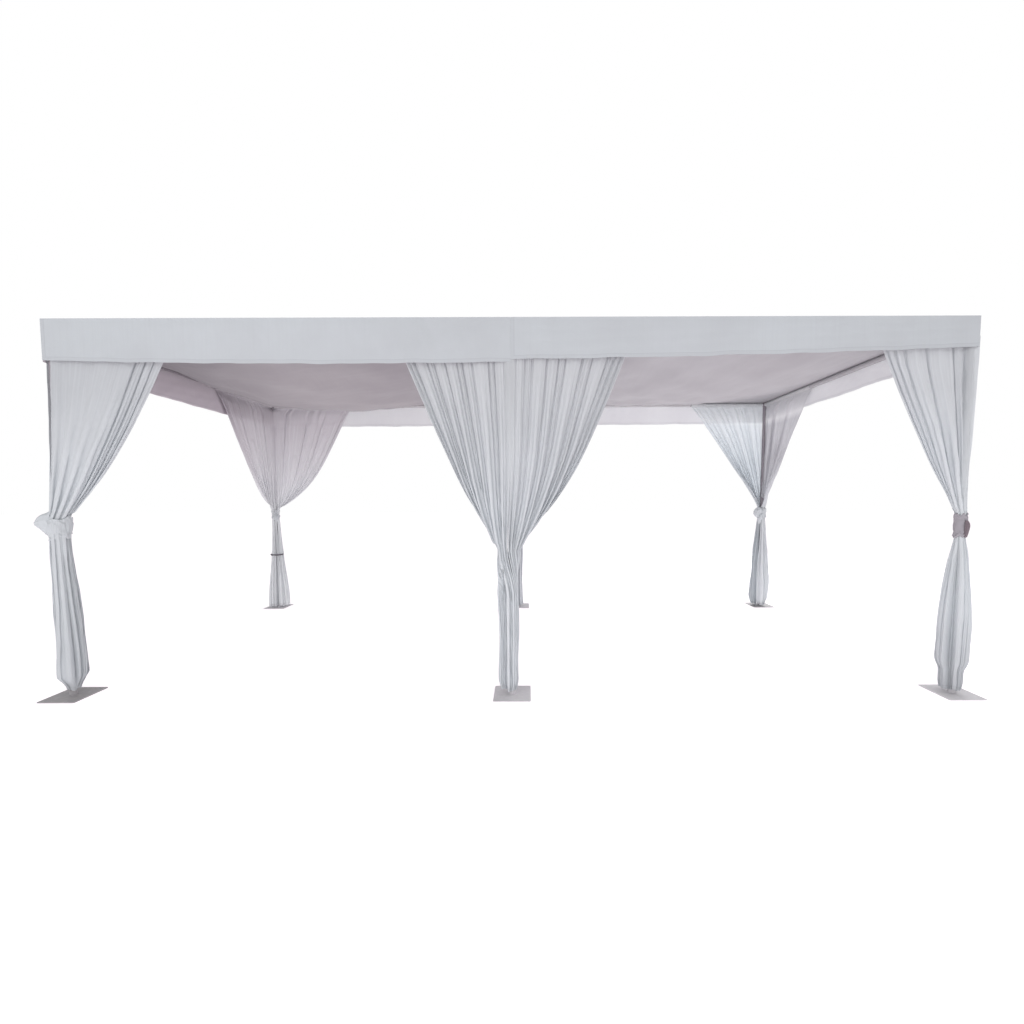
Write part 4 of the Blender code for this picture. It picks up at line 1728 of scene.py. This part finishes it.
def build_valances(cover: bpy.types.Material, left_sleeve: bpy.types.Material,
                   right_sleeve: bpy.types.Material) -> None:
    """Make the six valances, and the sleeves of the lining round the rails.

    Args:
        cover: Finish of the outer faces in front and on the left.
        left_sleeve: Lining of the left bay.
        right_sleeve: Lining of the right bay.
    """
    # thin is the paler copy of the cover, with painted light from behind
    finishes = (LIT_COVER, LEFT_LINING, RIGHT_LINING, BACK_LINING)
    # left is the lining with painted shade; bright and back are the lining with painted light coming through
    thin, left, bright, back = (finish.build() for finish in finishes)
    rear = DEPTH / 2 + VALANCE_OFFSET
    right = BAY_WIDTH + VALANCE_OFFSET
    lap = 0.0002
    corner = right + 0.004
    for place, start, end, drops, belly, outside, inside, seed in (
            ("front_left", (-corner, -rear), (-lap, -rear), (0.325, 0.345), 0.020, cover, left, 201),
            ("front_right", (lap, -rear), (corner, -rear), (0.325, 0.240), 0.015, cover, left, 202),
            ("right_side", (right, -rear), (right, rear), (0.240, 0.250), 0.010, thin, bright, 203),
            ("back_right", (corner, rear), (lap, rear), (0.300, 0.320), 0.010, thin, back, 204),
            ("back_left", (-lap, rear), (-corner, rear), (0.320, 0.330), 0.010, thin, back, 205),
            ("left_side", (-right, rear), (-right, -rear), (0.330, 0.335), 0.010, cover, left, 206)):
        Valance(f"valance_{place}", Span(start, end), drops, belly, outside, inside, seed).build()
    reach = {(panel.post, panel.side): panel.reach + SLEEVE_START for panel in PANELS}
    # Sleeves take the colours of the linings and of the roof's underside: painted shade, and painted light
    # along the back rails
    sleeves = []
    for row, y, lining in (("front", -DEPTH / 2, left), ("back", DEPTH / 2, back)):
        sleeves.append((f"{row}_left", (-BAY_WIDTH + reach[f"{row}_left", row], y),
                        (-reach[f"{row}_middle", "left"], y), lining, 301))
        sleeves.append((f"{row}_right", (reach[f"{row}_middle", "right"], y),
                        (BAY_WIDTH - reach[f"{row}_right", row], y), lining, 302))
    for side, x, lining in (("left", -BAY_WIDTH, left_sleeve), ("right", BAY_WIDTH, right_sleeve)):
        sleeves.append((f"{side}_side", (x, reach[f"front_{side}", "side"] - DEPTH / 2),
                        (x, DEPTH / 2 - reach[f"back_{side}", "side"]), lining, 303))
    for place, start, end, lining, seed in sleeves:
        Sleeve(f"sleeve_{place}", f"rail_{place}", Span(start, end), lining, seed).build()


def build_ties(posts: dict[str, Post], own: bpy.types.Material, cloth: bpy.types.Material) -> None:
    """Wind the ties round the bunches, with the cloth that is pulled out of them.

    Args:
        posts: The posts by name.
        own: Finish of the front left tie, which is the curtain's own cloth.
        cloth: Finish of the other ties made of curtain cloth.
    """
    band, cord = BAND.build(), CORD.build()
    front_left, front_right = posts["front_left"], posts["front_right"]
    back_left, back_right = posts["back_left"], posts["back_right"]
    puff = Lobe("puff_front_left", front_left,
                ((-0.030, -0.025, 1.435), (-0.080, -0.035, 1.435), (-0.125, -0.040, 1.44),
                 (-0.163, -0.040, 1.44), (-0.186, -0.040, 1.44)),
                (0.105, 0.095, 0.066, 0.038, 0.014), 0.036, own, 31).build()
    knot = Lobe("knot_front_right", front_right,
                ((0.010, -0.046, 1.435), (0.016, -0.054, 1.395), (0.012, -0.050, 1.335),
                 (0.008, -0.044, 1.30)),
                (0.010, 0.019, 0.016, 0.008), 0.012, DARK_BAND.build(), 33, slot="tie_cloth").build()
    tail = Lobe("tail_back_left", back_left,
                ((0.03, -0.06, 1.40), (0.045, -0.08, 1.36), (0.05, -0.085, 1.30)),
                (0.02, 0.035, 0.012), 0.015, cloth, 35).build()
    bow = Lobe("bow_back_right", back_right,
               ((-0.03, -0.05, 1.42), (-0.075, -0.07, 1.44), (-0.11, -0.075, 1.40), (-0.10, -0.075, 1.34)),
               (0.02, 0.05, 0.045, 0.012), 0.025, cloth, 37).build()
    end = Lobe("tail_back_right", back_right,
               ((-0.04, -0.06, 1.38), (-0.07, -0.08, 1.32), (-0.08, -0.085, 1.24)),
               (0.02, 0.035, 0.012), 0.016, cloth, 39).build()
    for wrap in (
            Wrap("tie_front_left", front_left, 1.385, 0.17, 0.073, own, (puff,), slant=1.6,
                 crease=0.0040, thickness=0.005, pinch=0.03, flare=0.12),
            Wrap("tie_front_right", front_right, 1.397, 0.185, 0.042, band, (knot,), slot="tie_cloth",
                 thickness=0.005, slant=0.7),
            Wrap("tie_front_middle", posts["front_middle"], 1.17, 0.035, 0.060, cloth, thickness=0.005,
                 slant=0.5),
            Wrap("tie_back_left", back_left, 1.41, 0.12, 0.054, cloth, (tail,), slant=0.8),
            Wrap("tie_back_middle", posts["back_middle"], 1.17, 0.05, 0.065, cloth),
            Wrap("tie_back_right", back_right, 1.40, 0.13, 0.057, cloth, (bow, end), slant=0.8),
            Wrap("tie_back_left_lower", back_left, 0.80, 0.020, 0.084, cord, slot="tie_cloth",
                 thickness=0.004, crease=0.0, pinch=0.0)):
        wrap.build()


def dress_metal(nodes: dict[str, bpy.types.Object]) -> None:
    """Give the plates, uprights and rails their finishes.

    Args:
        nodes: The CAD objects by name.
    """
    steel, worn, tube = STEEL.build(), DUSTY_SHADED_STEEL.build(), TUBE.build()
    for name, node in nodes.items():
        if name.startswith(("base_plate", "upright", "rail")):
            # Two plates take the darker paint, painted shade
            plate = worn if name in SHADED_PLATES else steel
            for slot in node.material_slots:
                slot.material = plate if name.startswith("base_plate") else tube


def main() -> None:
    """Build the looks of the tent, piece by piece.
    """
    logging.basicConfig(level=logging.INFO, format="%(message)s")
    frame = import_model()
    Studio().build()
    dress_metal(frame["nodes"])
    cover, voile, left, right = (finish.build() for finish in (COVER, VOILE, LEFT_VOILE, RIGHT_VOILE))
    # Most curtains take lit and shaded copies of the voile, with painted light and shade
    special = {("front_left", "front"): left, ("front_left", "side"): left,
               ("front_right", "front"): right, ("front_right", "side"): right,
               ("back_left", "back"): INNER_VOILE.build(), ("back_left", "side"): INNER_SIDE_VOILE.build(),
               ("back_right", "back"): BACKLIT_VOILE.build(), ("back_right", "side"): SHADED_VOILE.build()}
    posts = {post.name: post for post in POSTS}
    for panel in PANELS:
        Curtain(posts[panel.post], panel, special.get((panel.post, panel.side), voile)).build()
    # Darker colours for the roof's underside: painted shade
    dark, pale = CEILING_LEFT.build(), CEILING_RIGHT.build()
    RoofCloth("ceiling_left", -1, 0.33, 0.37, cover, dark).build()
    RoofCloth("ceiling_right", 1, 0.25, 0.50, cover, pale).build()
    build_valances(cover, dark, pale)
    build_ties(posts, left, voile)


if __name__ == "__main__":
    main()
